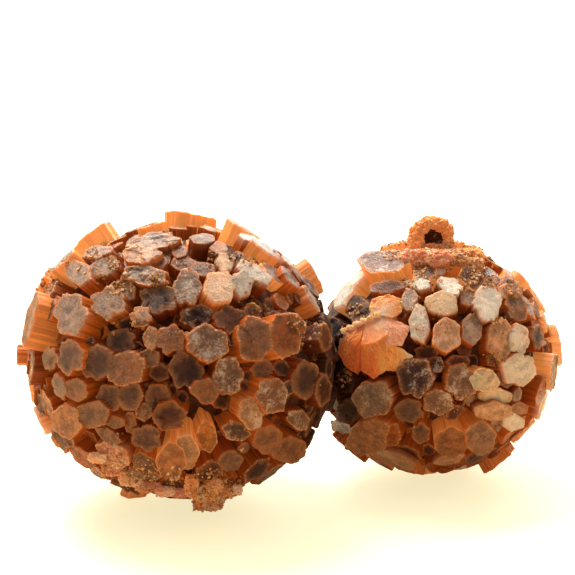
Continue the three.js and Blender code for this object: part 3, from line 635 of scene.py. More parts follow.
def wedgeMesh(name):
    shape = bmesh.new()
    tone = shape.verts.layers.float_vector.new("tone")
    streaky = shape.verts.layers.float.new("streaky")
    seed = shape.verts.layers.float.new("seed")
    root = seenPoint(smallBall, *bundleRoot)
    for i, (strength, letters, corners) in enumerate(bundleWedges):
        wedge = bmesh.new()
        colours = wedge.verts.layers.float_vector.new("tone")
        for letter, corner in zip("R" + letters, [root] + [seenPoint(smallBall, *corner) for corner in corners]):
            wedge.verts.new(corner * mm)[colours] = Vector(bundleTones[letter])
        bmesh.ops.convex_hull(wedge, input=wedge.verts)
        hull = bpy.data.meshes.new("hull")
        wedge.to_mesh(hull)
        wedge.free()
        before = len(shape.verts)
        shape.from_mesh(hull)
        shape.verts.ensure_lookup_table()
        for vertex in shape.verts[before:]:
            vertex[streaky], vertex[seed] = strength, 13.1 * i
        bpy.data.meshes.remove(hull)
    mesh = bpy.data.meshes.new(name)
    shape.to_mesh(mesh)
    shape.free()
    return mesh


# Places at the front where no spread crystals grow: across, up and width. The first lists hold other pieces, and
# the second ones are dark gaps, which the small crystals leave free too.
largeKept = [[3.6, -19.8, 6], [8, -19, 3], [-0.5, -10.6, 3], [3.2, 17.4, 2.4], [8.5, 15.8, 2.4], [12.5, 13.0, 3],
             [13.8, 10.8, 4], [15.8, 9.2, 4], [17.8, 6.4, 4], [18.8, 3.0, 3.5], [-7, 18.6, 3], [-1, 19.2, 3]]
smallKept = [[-9, 2, 10], [-13, 1, 4], [-5.5, 0.5, 4], [-0.5, 17.5, 6]]
largeHoles = [[-12, 4, 3.4], [-12.5, -3.3, 2.0], [1.5, -7.2, 1.8], [4.5, -8.5, 2.6], [-1.5, 6, 2.0], [-4, 1, 1.6],
              [11, 9.2, 2.0], [3.3, -0.7, 1.2], [10, -1, 1.6], [8.2, -6.6, 2.4]]
smallHoles = [[2.6, 13.4, 1.6], [4.6, 14, 1.6], [-4.2, 14.7, 1.8], [-3.5, 3, 1.6], [6.5, 1, 1.6], [-16, -1.8, 4.0],
              [-13, -1.5, 2.0]]


# Each kind of crystal draws its shape from seeds of its own.
firstSeed = {"rim": 3000, "feet": 5000, "spread": 9000, "wedged": 12000, "fill": 15000, "step": 7}


def growBall(ball, otherBall, ends, endTones, sides, rim, rimTones, feet, wedged, wedgedTones, kept, holes):
    def seed(kind, i=0):
        return ball["seed"] + firstSeed.get(kind, 0) + firstSeed["step"] * i

    placed = [frontCrystal(ball, row, endTones[i], seed("front", i), sides.get(i)) for i, row in enumerate(ends)]
    placed += [rimCrystal(ball, row, rimTones[i], seed("rim", i), sides.get(i + 100)) for i, row in enumerate(rim)]
    placed += [footCrystal(ball, row, seed("feet", i)) for i, row in enumerate(feet)]
    clear, gaps = [[((seenPoint(ball, across, up, 0) - ball["centre"]).normalized(), size)
                    for across, up, size in rows] for rows in (kept, holes)]
    taken = [(axis, size) for axis, size, shape in placed] + clear
    far = spreadCrystals(ball, otherBall, taken, seed("spread"), spreadLook)
    taken = [place for place in taken if place not in clear]
    small = [frontCrystal(ball, row, wedgedTones[i], seed("wedged", i)) for i, row in enumerate(wedged)]
    taken += [(axis, size) for axis, size, shape in small] + gaps
    fill = spreadCrystals(ball, otherBall, taken, seed("fill"), fillLook)
    print("crystals:", len(placed), "placed,", len(far), "spread,", len(small), "wedged,", len(fill), "filling gaps")
    return [shape for axis, size, shape in placed], far, [shape for axis, size, shape in small] + fill


def pointMesh(name, crystals):
    mesh = bpy.data.meshes.new(name)
    mesh.from_pydata([tuple(shape["tip"] * mm) for shape in crystals], [], [])

    def note(label, kind, values):
        layer = mesh.attributes.new(label, kind, "POINT")
        flat = [part for value in values for part in value] if kind != "FLOAT" else list(values)
        layer.data.foreach_set({"FLOAT": "value", "FLOAT_VECTOR": "vector", "FLOAT_COLOR": "color"}[kind], flat)

    note("tip", "FLOAT_VECTOR", [shape["tip"] * mm for shape in crystals])
    note("centre", "FLOAT_VECTOR", [shape["centre"] * mm for shape in crystals])
    note("slant", "FLOAT_VECTOR", [shape["slant"] for shape in crystals])
    for i in range(6):
        note("corner%d" % i, "FLOAT_VECTOR", [shape["corners"][i] * mm for shape in crystals])
    note("endTone", "FLOAT_COLOR", [(*shape["tone"], 1.0) for shape in crystals])
    for label in ("rough", "warmth", "seed", "notched"):
        note(label, "FLOAT", [shape[label] for shape in crystals])
    return mesh


def buildCrystalTree():
    tree, get = geometryTree("prisms from corner points", [
        ("Points Per Side", "Int", 4), ("Edge Bevel", "Float", 0.0002), ("Root", "Float", 0.6),
        ("Flare", "Float", 0.6), ("Side Notch", "Float", 0.1), ("Corner Round", "Float", 0.05),
        ("Outline Wander", "Float", 0.05), ("Ragged", "Float", 0.5), ("Top Wander", "Float", 0.0001),
        ("Terrace", "Float", 0.0003), ("Rings", "Int", 4)])

    # the template: one round spike, which keeps how far round, how far out and how far down each point lies
    spike = wire(tree, "GeometryNodeMeshCone", {
        "Vertices": get["Points Per Side"] * 6, "Side Segments": 4, "Fill Segments": get["Rings"],
        "Radius Top": 1.0, "Radius Bottom": 0.0, "Depth": 1.0}, fill_type="TRIANGLE_FAN")
    x, y, z = split(position(tree))
    around = calc("FRACT", calc("ARCTAN2", y, x) / (2 * math.pi) + 1.0005) * 6.0
    ring = along("LENGTH", joined(x, y)) / calc("MAXIMUM", z, 0.001)
    for label, value in (("around", around), ("ring", ring), ("down", 1.0 - z)):
        spike = keep(tree, spike, label, value)
    stands = wire(tree, "GeometryNodeInstanceOnPoints", {"Points": get["Geometry"], "Instance": spike})
    whole = realized(tree, stands)

    around, ring, down, seed = [stored(tree, label) for label in ("around", "ring", "down", "seed")]
    tip, centre = storedVector(tree, "tip"), storedVector(tree, "centre")
    cornerPlaces = [storedVector(tree, "corner%d" % i) for i in range(6)]

    def cornerAt(index):
        pick = put(tree, "GeometryNodeIndexSwitch", data_type="VECTOR")
        for i in range(4):
            pick.index_switch_items.new()
        for i, value in enumerate([index] + cornerPlaces):
            tree.links.new(value.socket, pick.inputs[i])
        return Wire(pick.outputs[0])

    first = calc("MODULO", calc("FLOOR", around), 6.0)
    second = calc("MODULO", first + 1.0, 6.0)
    between = calc("FRACT", around)
    edge = wire(tree, "ShaderNodeMix", {0: between, 4: cornerAt(first), 5: cornerAt(second)}, 1, data_type="VECTOR")
    spoke = edge - tip
    spokeLength = calc("MAXIMUM", along("LENGTH", spoke), 0.0001)
    reachVector = tip - centre
    reach = along("LENGTH", reachVector)
    axis = along("NORMALIZE", reachVector)

    # the outline: rounded corners, a groove down the middle of some sides, and a little unevenness
    nearCorner = calc("SUBTRACT", 1.0, calc("PINGPONG", between, 0.5) * 4.0, clamp=True)
    nearMiddle = calc("SUBTRACT", 1.0, calc("ABSOLUTE", between - 0.5) * 4.0, clamp=True)
    sideChance = calc("FRACT", calc("SINE", first * 12.9 + seed * 3.71) * 437.5)
    grooved = span(sideChance, 0.45, 1.0) * stored(tree, "notched")
    seedShift = joined(seed, seed * 1.7, down * 0.15)
    wanderPlace = along("NORMALIZE", spoke) * 3.4 + seedShift
    ragged = noise(wanderPlace, 3.6, 2.0, 0.7) - 0.5
    wander = noise(wanderPlace, 1.0, 4.0, 0.8) - 0.5 + ragged * get["Ragged"]
    width = 1.0 - nearCorner * get["Corner Round"]
    width = width - nearMiddle * grooved * get["Side Notch"] + wander * (get["Outline Wander"] * 2.0)

    # the profile: a bevel round the end, then straight down to the root inside the clay
    belowBevel = calc("MULTIPLY", down, 4.0, clamp=True)
    past = calc("MAXIMUM", down - 0.25, 0.0) * 2.0
    share = 1.0 - belowBevel * (get["Edge Bevel"] / reach) - past * (1.0 - get["Root"])
    inset = get["Edge Bevel"] / spokeLength * (1.0 - belowBevel)
    narrowed = 1.0 - (1.0 - share) * get["Flare"]
    arm = spoke * ((width - inset) * ring)

    # the end: a slight slant, a shallow unevenness that chips the edge here and there, and a step on some
    onTop = 1.0 - belowBevel
    topPlace = arm * 900.0 + seedShift
    bumpy = noise(topPlace, 0.9) - 0.5
    lift = along("DOT_PRODUCT", arm, storedVector(tree, "slant")) + bumpy * onTop * (get["Top Wander"] * 3.0)
    steps = span(noise(topPlace, 0.30, 2.0, 0.6), 0.51, 0.55)
    lift = lift - span(calc("FRACT", seed * 7.13), 0.35, 0.9) * steps * onTop * get["Terrace"]
    spot = centre + reachVector * share + arm * narrowed + axis * lift

    whole = keep(tree, whole, "grain", arm * 1000.0 + seedShift * 0.731, "FLOAT_VECTOR")
    whole = moveTo(tree, whole, aboveFloor(spot))
    return closeTree(tree, whole, get["Material"], ["corner%d" % i for i in range(6)] + [
        "tip", "centre", "slant", "notched", "around"])


def buildLumpTree():
    # rough lumps of tiny crystals: one ball for each point, stretched, faceted and roughened
    tree, get = geometryTree("rough lumps", [
        ("Facets", "Float", 1.0), ("Facet Depth", "Float", 0.16), ("Swell", "Float", 0.8),
        ("Boxiness", "Float", 0.5), ("Grit Depth", "Float", 0.00012)])
    ball = wire(tree, "GeometryNodeMeshIcoSphere", {"Radius": 0.5, "Subdivisions": 5})
    spot = position(tree)
    sides = [calc("ABSOLUTE", side) for side in split(spot)]
    longest = calc("MAXIMUM", calc("MAXIMUM", sides[0], sides[1]), sides[2])
    ball = moveTo(tree, ball, spot * calc("POWER", 0.5 / longest, get["Boxiness"]))
    whole = realized(tree, wire(tree, "GeometryNodeInstanceOnPoints", {
        "Points": get["Geometry"], "Instance": ball, "Scale": storedVector(tree, "size"),
        "Rotation": storedVector(tree, "turn")}))

    place, seed = position(tree), stored(tree, "seed")
    arm = place - storedVector(tree, "tip")
    shift = joined(seed, seed * 2.3, seed)
    heading = along("NORMALIZE", arm) * get["Facets"] + shift
    cells = wire(tree, "ShaderNodeTexVoronoi", {"Vector": heading, "Scale": 2.2}, "Color", feature="F1")
    cut = (split(cells)[0] - 0.6) * get["Facet Depth"]
    swell = (noise(heading, 1.6, 4.0, 0.7) - 0.5) * get["Swell"]
    gritty = (noise(place, 2600.0, 3.0, 0.6) - 0.5) * (get["Grit Depth"] * 4.0)
    spot = place + arm * (cut + swell) + along("NORMALIZE", arm) * gritty
    whole = moveTo(tree, whole, aboveFloor(spot))
    whole = keep(tree, whole, "grain", place * 1000.0 + shift, "FLOAT_VECTOR")
    return closeTree(tree, whole, get["Material"], ["size", "turn", "tip"])


def buildWedgeTree():
    # a wedge of fibres: rounded edges, and ridges that all run out from one spot
    tree, get = geometryTree("fibrous wedges", [
        ("Apex", "Vector", None), ("Fineness", "Float", 5.0), ("Ridge Depth", "Float", 0.0003),
        ("Unevenness", "Float", 0.0005), ("Crease", "Float", 0.8)])
    fine = wire(tree, "GeometryNodeSubdivisionSurface", {
        "Mesh": get["Geometry"], "Level": 5, "Edge Crease": get["Crease"], "Vertex Crease": get["Crease"]})
    place, seed = position(tree), stored(tree, "seed")
    arm = place - get["Apex"]
    shift = joined(seed, seed * 2.3, along("LENGTH", arm) * 30.0)
    across = along("NORMALIZE", arm) * get["Fineness"] + shift
    ridges = noise(across, 1.0, 4.0, 0.65) - 0.5
    rough = noise(place, 420.0, 3.0, 0.6) - 0.5
    lift = ridges * get["Ridge Depth"] + rough * get["Unevenness"]
    fine = wire(tree, "GeometryNodeSetPosition", {
        "Geometry": fine, "Offset": wire(tree, "GeometryNodeInputNormal") * lift})
    fine = keep(tree, fine, "endTone", storedVector(tree, "tone"), "FLOAT_COLOR")
    fine = keep(tree, fine, "grain", across * 0.7, "FLOAT_VECTOR")
    fine = keep(tree, fine, "down", 0.25)
    return closeTree(tree, fine, get["Material"], ["tone"])


def lumpMesh(name, lumps):
    mesh = bpy.data.meshes.new(name)
    mesh.from_pydata([tuple(lump["tip"] * mm) for lump in lumps], [], [])
    for label in ("tip", "size", "turn"):
        layer = mesh.attributes.new(label, "FLOAT_VECTOR", "POINT")
        factor = 1.0 if label == "turn" else mm
        layer.data.foreach_set("vector", [part * factor for lump in lumps for part in lump[label]])
    tone = mesh.attributes.new("endTone", "FLOAT_COLOR", "POINT")
    tone.data.foreach_set("color", [part for lump in lumps for part in (*lump["tone"], 1.0)])
    seed = mesh.attributes.new("seed", "FLOAT", "POINT")
    seed.data.foreach_set("value", [lump["seed"] for lump in lumps])
    return mesh


def buildCrumbTree():
    # crumbs that lie on a surface: thick where its "grit" is high, thin in the gaps elsewhere, none near the roots
    tree, get = geometryTree("crumbs", [
        ("Density", "Float", 5e6), ("Everywhere", "Float", 0.03), ("Smallest", "Float", 0.00012),
        ("Largest", "Float", 0.0005), ("Seed", "Int", 1)])

    def chanceOf(low, high, offset, kind="FLOAT"):
        node = put(tree, "FunctionNodeRandomValue", {"Seed": get["Seed"] + offset}, data_type=kind)
        limits = [socket for socket in node.inputs if socket.enabled and socket.name in ("Min", "Max")]
        limits[0].default_value, limits[1].default_value = low, high
        return Wire([socket for socket in node.outputs if socket.enabled][0])

    place, down = position(tree), stored(tree, "down")
    patches = span(noise(place, 170.0), 0.52, 0.66)
    thin = patches * (span(down, 0.2, 0.3) + 0.08) * get["Everywhere"]
    factor = calc("ADD", stored(tree, "grit"), thin, clamp=True) * span(down, 0.48, 0.34)
    points = wire(tree, "GeometryNodeDistributePointsOnFaces", {
        "Mesh": get["Geometry"], "Density": factor * get["Density"], "Seed": get["Seed"]}, distribute_method="RANDOM")
    shade = calc("ADD", chanceOf(0.0, 1.0, 3) * 0.62, stored(tree, "gritPale") * 0.42, clamp=True)
    points = keep(tree, points, "shade", shade)

    crumb = wire(tree, "GeometryNodeMeshUVSphere", {"Segments": 5, "Rings": 2, "Radius": 0.58})
    uneven = noise(place, 2.5, 1.0, out=1) - (0.5, 0.5, 0.5)
    crumb = wire(tree, "GeometryNodeSetPosition", {"Geometry": crumb, "Offset": uneven * 0.9})
    width = get["Smallest"] + calc("POWER", chanceOf(0.0, 1.0, 5), 2.2) * (get["Largest"] - get["Smallest"])
    stretch = chanceOf((0.6, 0.6, 0.6), (1.3, 1.3, 1.3), 7, "FLOAT_VECTOR")
    turned = chanceOf((0, 0, 0), (6.283, 6.283, 6.283), 9, "FLOAT_VECTOR")
    whole = realized(tree, wire(tree, "GeometryNodeInstanceOnPoints", {
        "Points": points, "Instance": crumb, "Rotation": turned, "Scale": stretch * width}))
    whole = moveTo(tree, whole, aboveFloor(position(tree)))
    return closeTree(tree, whole, get["Material"], [
        "grit", "gritPale", "endTone", "rough", "warmth", "seed", "ring", "down", "grain", "streaky"])


# Grit beyond every patch is this pale, and no patch reaches further back than this behind the ball's middle plane.
gritLook = {"pale": 0.35, "furthestBack": -3}


def gritted(mesh, ball, spots):
    # a copy of a surface that knows how thick and how pale the grit lies at each of its points
    surface = mesh.copy()
    thick, pale = [], []
    for vertex in surface.vertices:
        across, up, forward = asSeen(ball, vertex.co / mm)
        amount, light = 0.0, gritLook["pale"]
        if forward > gritLook["furthestBack"]:
            for spotAcross, spotUp, radius, strength, paleness in spots:
                away = math.hypot(across - spotAcross, up - spotUp) / radius
                if away < 1 and strength * (1 - away * away) > amount:
                    amount, light = strength * (1 - away * away), paleness
        thick.append(amount)
        pale.append(light)
    for label, values in (("grit", thick), ("gritPale", pale)):
        surface.attributes.new(label, "FLOAT", "POINT").data.foreach_set("value", values)
    return surface


# Finishes. Two effects that several of them share come first.
def buildStreaks():
    # fine lines that run along a crystal: they change fast across it and hardly at all along it
    tree, get = openTree("fibre streaks", "ShaderNodeTree", [("Grain", "Vector", None), ("Fineness", "Float", 3.0)],
                         [("Dark", "Float"), ("Light", "Float"), ("Height", "Float")])
    broad = noise(get["Grain"], get["Fineness"] * 0.45, 2.0, 0.6)
    thin = noise(get["Grain"], get["Fineness"], 3.0, 0.65)
    put(tree, "NodeGroupOutput", {"Dark": span(broad * 0.6 + thin * 0.4, 0.42, 0.62),
                                  "Light": span(thin, 0.56, 0.72), "Height": thin + broad})
    return tree


def buildFrosting():
    # white specks and small pits of a frosted face
    tree, get = openTree("frosting", "ShaderNodeTree", [("Grain", "Vector", None), ("Amount", "Float", 0.5)],
                         [("Specks", "Float"), ("Clouds", "Float"), ("Height", "Float")])
    clouds = noise(get["Grain"], 0.55, 3.0, 0.6)
    grit = noise(get["Grain"], 2.9, 3.0, 0.72, 0.6)
    threshold = 0.86 - get["Amount"] * 0.19
    specks = span(clouds * 0.7 + grit * 0.62 - threshold, -0.02, 0.17)
    put(tree, "NodeGroupOutput", {"Specks": specks, "Clouds": clouds, "Height": grit})
    return tree


def newMaterial(name):
    material = bpy.data.materials.new(name)
    material.use_nodes = True
    material.node_tree.nodes.clear()
    return material, material.node_tree


def attribute(tree, label, out="Fac"):
    return wire(tree, "ShaderNodeAttribute", None, out, attribute_name=label, attribute_type="GEOMETRY")


def objectPlace(tree):
    return wire(tree, "ShaderNodeTexCoord", None, "Object")


def effect(tree, group, inputs):
    return wires(put(tree, "ShaderNodeGroup", inputs, node_tree=group).outputs)


def surface(tree, look, height, inputs):
    strength, distance = look["bump"]
    bump = wire(tree, "ShaderNodeBump", {"Strength": strength, "Distance": distance, "Height": height})
    shader = wire(tree, "ShaderNodeBsdfPrincipled", {**look["shader"], **inputs, "Normal": bump})
    put(tree, "ShaderNodeOutputMaterial", {"Surface": shader})


streaks = buildStreaks()
frosting = buildFrosting()
black = (0, 0, 0, 1)
aragoniteLook = {
    # ends
    "smoky": (0.56, 0.51, 0.48, 1), "milky": (1.20, 1.05, 0.94, 1), "edgeTone": (0.40, 0.160, 0.052, 1),
    "glint": (0.80, 0.47, 0.22, 1), "frostTone": (0.68, 0.59, 0.49, 1), "pitTone": (0.030, 0.014, 0.008, 1),
    # sides
    "sideDark": (0.13, 0.019, 0.003, 1), "sideOrange": (0.51, 0.104, 0.009, 1), "sideGlow": (0.93, 0.38, 0.095, 1),
    "deep": (0.060, 0.012, 0.002, 1), "paintedNeckShade": (0.020, 0.006, 0.002, 1), "streakTone": (0.64, 0.26, 0.075, 1),
    "worn": (0.66, 0.235, 0.06, 1), "wornShare": 0.55, "fineness": 4.6,
    "roughness": 0.22, "bump": (1.0, 0.00034),
    # the emission stands for light that has wandered in through other crystals
    "shader": {"IOR": 1.45, "Specular IOR Level": 0.34, "Coat Weight": 0.08, "Coat Roughness": 0.12,
               "Subsurface Weight": 0.75, "Subsurface Radius": (0.80, 0.42, 0.24), "Subsurface Scale": 0.0018,
               "Emission Strength": 0.50},
}


def buildAragonite():
    look = aragoniteLook
    material, tree = newMaterial("aragonite")
    ring, down, rough, warmth = [attribute(tree, label) for label in ("ring", "down", "rough", "warmth")]
    grain, endTone = attribute(tree, "grain", "Vector"), attribute(tree, "endTone", "Color")
    bright = wire(tree, "ShaderNodeSeparateColor", {0: endTone}, 1)
    frost = effect(tree, frosting, {"Grain": grain, "Amount": rough})
    streak = effect(tree, streaks, {"Grain": grain, "Fineness": look["fineness"]})

    # the sides: orange near the end, red brown further in, almost black at the root, which is painted shade; warm
    # sides get a painted backlit glow, and those near the neck painted shade
    side = blend(span(warmth, 0.0, 1.0, smooth=False), look["sideDark"], look["sideOrange"])
    side = blend(span(warmth, 1.0, 2.0, smooth=False), side, look["sideGlow"])
    side = blend(span(warmth, -0.8, 0.0, smooth=False), look["paintedNeckShade"], side)
    streakDepth = calc("SUBTRACT", 0.84, warmth * 0.32, clamp=True)
    side = blend(streak["Dark"] * streakDepth, side, look["sideDark"])
    side = blend(streak["Light"] * 0.30, side, look["streakTone"])
    rootShade = calc("SUBTRACT", 1.35, warmth * 0.75, clamp=True)
    side = blend(span(down, 0.33, 0.64) * rootShade, side, look["deep"])
    paleTop = calc("MULTIPLY", span(down, 0.34, 0.22), streak["Light"] * 0.2 + span(bright, 0.12, 0.36, 0.12, 0.7),
                   clamp=True)
    side = blend(paleTop, side, blend(look["wornShare"], endTone, look["worn"]))

    # the end: its own tone, cloudy, and warmer towards the edge
    contrast = span(bright, 0.25, 0.60, 1.0, 0.55)
    darker = blend(contrast, endTone, look["smoky"], "MULTIPLY")
    lighter = blend(contrast, endTone, look["milky"], "MULTIPLY")
    end = blend(span(frost["Clouds"] * 0.6 + frost["Height"] * 0.4, 0.41, 0.60), darker, lighter)
    nearEdge = span(ring + (frost["Clouds"] - 0.5) * 0.7, 0.50, 1.06)
    end = blend(nearEdge * span(bright, 0.10, 0.38, 0.56, 0.26), end, look["edgeTone"])

    # a thin pale line round it, which is a painted highlight, then frost, then pits
    line = span(ring, 0.88, 0.98) * span(frost["Height"], 0.42, 0.64)
    end = blend(line * span(rough, 0.03, 0.30, 0.04, 0.5), end, look["glint"])
    end = blend(frost["Specks"] * (rough * 0.64 + 0.05), end, look["frostTone"])
    pits = span(frost["Height"], 0.40, 0.30) * (rough * 0.45 + 0.20)
    end = blend(pits * contrast, end, look["pitTone"])

    # both together, with painted highlights along the broken edge and painted shade near the neck
    onSide = span(down, 0.02, 0.20)
    colour = blend(onSide, end, side)
    edgeGlints = span(down, 0.0, 0.10) * span(down, 0.25, 0.15) * span(frost["Height"], 0.50, 0.62)
    colour = blend(edgeGlints * span(rough, 0.03, 0.30, 0.06, 0.5), colour, look["glint"])
    colour = blend(span(warmth, 0.0, -0.9, 0.0, 0.75), colour, look["paintedNeckShade"])
    roughness = frost["Specks"] * 0.25 + (rough * 0.14 + look["roughness"]) + span(warmth, 0.1, -0.4, 0.0, 0.45)
    height = wire(tree, "ShaderNodeMix", {0: onSide, 2: frost["Height"], 3: streak["Height"]}, data_type="FLOAT")
    glow = blend(onSide, black, blend(span(warmth, 0.2, 2.0, 0.16, 1.0), black, side))
    surface(tree, look, height, {"Base Color": colour, "Roughness": roughness, "Emission Color": glow})
    return material


fibrousLook = {
    "darker": (0.74, 0.50, 0.34, 1), "paler": (0.95, 0.62, 0.38, 1), "frostTone": (0.95, 0.75, 0.55, 1),
    "frost": 0.4, "fineness": 3.2, "bump": (0.9, 0.0004),
    "shader": {"Roughness": 0.34, "IOR": 1.45, "Subsurface Weight": 0.45, "Subsurface Radius": (1.0, 0.35, 0.12),
               "Subsurface Scale": 0.0014, "Emission Strength": 0.12},
}


def buildFibrous():
    # the broken bundle: smooth, see-through fibres that show as fine streaks
    look = fibrousLook
    material, tree = newMaterial("fibrous aragonite")
    grain, tone = attribute(tree, "grain", "Vector"), attribute(tree, "endTone", "Color")
    streaky = attribute(tree, "streaky")
    streak = effect(tree, streaks, {"Grain": grain, "Fineness": look["fineness"]})
    frost = effect(tree, frosting, {"Grain": grain, "Amount": look["frost"]})
    darker = blend(1.0, tone, look["darker"], "MULTIPLY")
    colour = blend(streak["Dark"] * streaky, tone, darker)
    colour = blend(streak["Light"] * (streaky * 0.5), colour, look["paler"])
    colour = blend(span(frost["Clouds"], 0.50, 0.72, 0.0, 0.45), colour, darker)
    colour = blend(frost["Specks"] * 0.3, colour, look["frostTone"])
    # the emission is a painted glow that brightens the fibres as light through them would
    surface(tree, look, streak["Height"], {"Base Color": colour, "Emission Color": colour})
    return material


crustLook = {
    "darker": (0.86, 0.66, 0.50, 1), "frostTone": (0.90, 0.60, 0.36, 1), "frost": 0.7, "bump": (0.7, 0.0003),
    "shader": {"Roughness": 0.5, "IOR": 1.45, "Subsurface Weight": 0.5, "Subsurface Radius": (1.0, 0.4, 0.12),
               "Subsurface Scale": 0.001, "Emission Strength": 0.15},
}


def buildCrust():
    # the rough skin of tiny crystals on the stub, the crusts and the foot
    look = crustLook
    material, tree = newMaterial("crystal crust")
    grain, tone = attribute(tree, "grain", "Vector"), attribute(tree, "endTone", "Color")
    frost = effect(tree, frosting, {"Grain": grain, "Amount": look["frost"]})
    colour = blend(span(frost["Clouds"], 0.35, 0.65), blend(1.0, tone, look["darker"], "MULTIPLY"), tone)
    colour = blend(frost["Specks"] * 0.5, colour, look["frostTone"])
    # the emission is painted light that brightens the stub, the crusts and the foot where they lie in shade
    surface(tree, look, frost["Height"], {"Base Color": colour, "Emission Color": colour})
    return material


crumbLook = {
    "dark": (0.045, 0.016, 0.006, 1), "golden": (0.60, 0.25, 0.06, 1), "cream": (0.90, 0.58, 0.33, 1),
    "bump": (0.5, 0.0001),
    "shader": {"Roughness": 0.6, "Subsurface Weight": 0.15, "Subsurface Radius": (1.0, 0.4, 0.12),
               "Subsurface Scale": 0.0005},
}


def buildCrumbs():
    look = crumbLook
    material, tree = newMaterial("clay crumbs")
    mottle = (noise(objectPlace(tree), 4000.0) - 0.5) * 0.4
    shade = attribute(tree, "shade") + mottle
    colour = blend(span(shade, 0.10, 0.50, smooth=False), look["dark"], look["golden"])
    colour = blend(span(shade, 0.55, 0.85, smooth=False), colour, look["cream"])
    surface(tree, look, mottle, {"Base Color": colour})
    return material


clayLook = {
    "share": 0.86, "knobs": 0.0006, "knobScale": 420.0, "dark": (0.050, 0.014, 0.005, 1),
    "brown": (0.26, 0.085, 0.025, 1), "bump": (0.8, 0.0004), "shader": {"Roughness": 0.9},
}


def buildClay():
    look = clayLook
    material, tree = newMaterial("iron clay")
    lumps = noise(objectPlace(tree), 900.0, 4.0, 0.65)
    patches = noise(objectPlace(tree), 160.0, 3.0, 0.6)
    colour = blend(span(lumps, 0.35, 0.75), look["dark"], look["brown"])
    colour = blend(span(patches, 0.35, 0.7), colour, look["dark"])
    surface(tree, look, lumps, {"Base Color": colour})
    return material


aragonite = buildAragonite()
fibrous = buildFibrous()
crust = buildCrust()
crumbs = buildCrumbs()
clay = buildClay()
print("finishes made")

crystalTree = buildCrystalTree()
crystalValues = {
    "Points Per Side": 8, "Rings": 6, "Edge Bevel": 0.00020, "Root": 0.62, "Flare": 0.22, "Side Notch": 0.27,
    "Corner Round": 0.03, "Outline Wander": 0.13, "Ragged": 0.95, "Top Wander": 0.00012, "Terrace": 0.00030,
    "Material": aragonite,
}
spreadValues = {**crystalValues, "Points Per Side": 5, "Rings": 4}
smallValues = {
    **crystalValues, "Points Per Side": 3, "Rings": 3, "Ragged": 0.6, "Edge Bevel": 0.00014,
    "Top Wander": 0.00010, "Side Notch": 0.05,
}
bundleValues = {
    "Apex": tuple(seenPoint(smallBall, *bundleApex) * mm), "Fineness": 18.0, "Ridge Depth": 0.00045,
    "Unevenness": 0.0007, "Crease": 0.8, "Material": fibrous,
}
crumbTree = buildCrumbTree()
crumbValues = {
    "Density": 11e6, "Everywhere": 0.045, "Smallest": 0.00014, "Largest": 0.00062, "Material": crumbs,
}
crumbSeeds = itertools.count(17, 17)


def sprinkle(name, piece, ball, spots, **values):
    return grow(name, gritted(piece.data, ball, spots), crumbTree, {
        **crumbValues, "Seed": next(crumbSeeds), **values})


ballLists = {
    "large_ball": (largeBall, smallBall, largeGrit, (
        largeEnds, largeTones, largeSides, largeRim, largeRimTones, largeFeet, largeWedged, largeWedgedTones,
        largeKept, largeHoles)),
    "small_ball": (smallBall, largeBall, smallGrit, (
        smallEnds, smallTones, smallSides, smallRim, smallRimTones, smallFeet, smallWedged, smallWedgedTones,
        smallKept, smallHoles)),
}
pieces = []
for name, (ball, otherBall, grit, lists) in ballLists.items():
    main, far, little = growBall(ball, otherBall, *lists)
    grown = [grow(name + ending, pointMesh(name + ending, crystals), crystalTree, values)
             for ending, crystals, values in (("_crystals", main, crystalValues),
                                              ("_spread_crystals", far, spreadValues),
                                              ("_small_crystals", little, smallValues))]
    pieces += grown
    pieces += [sprinkle("%s_crumbs%d" % (name, i), piece, ball, grit) for i, piece in enumerate(grown)]
pieces.append(grow("broken_bundle", wedgeMesh("broken_bundle"), buildWedgeTree(), bundleValues))
pieces.append(sprinkle("bundle_crumbs", pieces[-1], smallBall, smallGrit, Density=9e6))


def lump(place, size, tone, seed):
    # the lump's own width, height and depth lie along the eye's right, up and forward directions
    tilt = Matrix((right, upward, towardEye)).transposed().to_euler()
    return {"tip": place, "size": size, "turn": tuple(tilt), "tone": tones[tone], "seed": 3.7 * seed}


def patchLumps(ball, rows, letters, seed):
    return [lump(seenPoint(ball, across, up, proud), size, letters[i], i + seed)
            for i, (across, up, proud, *size) in enumerate(rows)]


stub = [lump(eyePoint(smallBall, across, up, forward), size, stubTones[i], i + 1)
        for i, (across, up, forward, *size) in enumerate(stubLumps)]
# the lowest lumps of the foot would miss the ball, so they stand in the plane through its centre, moved forward
footLook = {"lowest": -20.5, "forward": 6.0}
foot = [lump(seenPoint(largeBall, across, up, proud) if up > footLook["lowest"] else eyePoint(
    largeBall, across, up, footLook["forward"]), size, footTones[i], i + 41)
    for i, (across, up, proud, *size) in enumerate(footLumps)]
lumpTree = buildLumpTree()
lumpValues = {
    "Facets": 2.3, "Facet Depth": 0.22, "Swell": 1.0, "Boxiness": 0.3, "Grit Depth": 0.00018, "Material": crust,
}
# each piece of lumps, with the crumbs that lie on it
lumpPieces = {
    "stub": (stub, None, smallBall, None),
    "small_ball_crust": (patchLumps(smallBall, crustLumps, crustTones, 71), "crust_crumbs", smallBall, crustGrit),
    "low_crust": (patchLumps(largeBall, largeCrustLumps, largeCrustTones, 91), "low_crust_crumbs", largeBall,
                  largeGrit),
    "foot_lumps": (foot, "foot_crumbs", largeBall, footGrit),
}
for name, (lumps, crumbName, ball, grit) in lumpPieces.items():
    pieces.append(grow(name, lumpMesh(name, lumps), lumpTree, lumpValues))
    if crumbName:
        pieces.append(sprinkle(crumbName, pieces[-1], ball, grit))
print("crystals grown:", [len(piece.data.polygons) for piece in pieces])


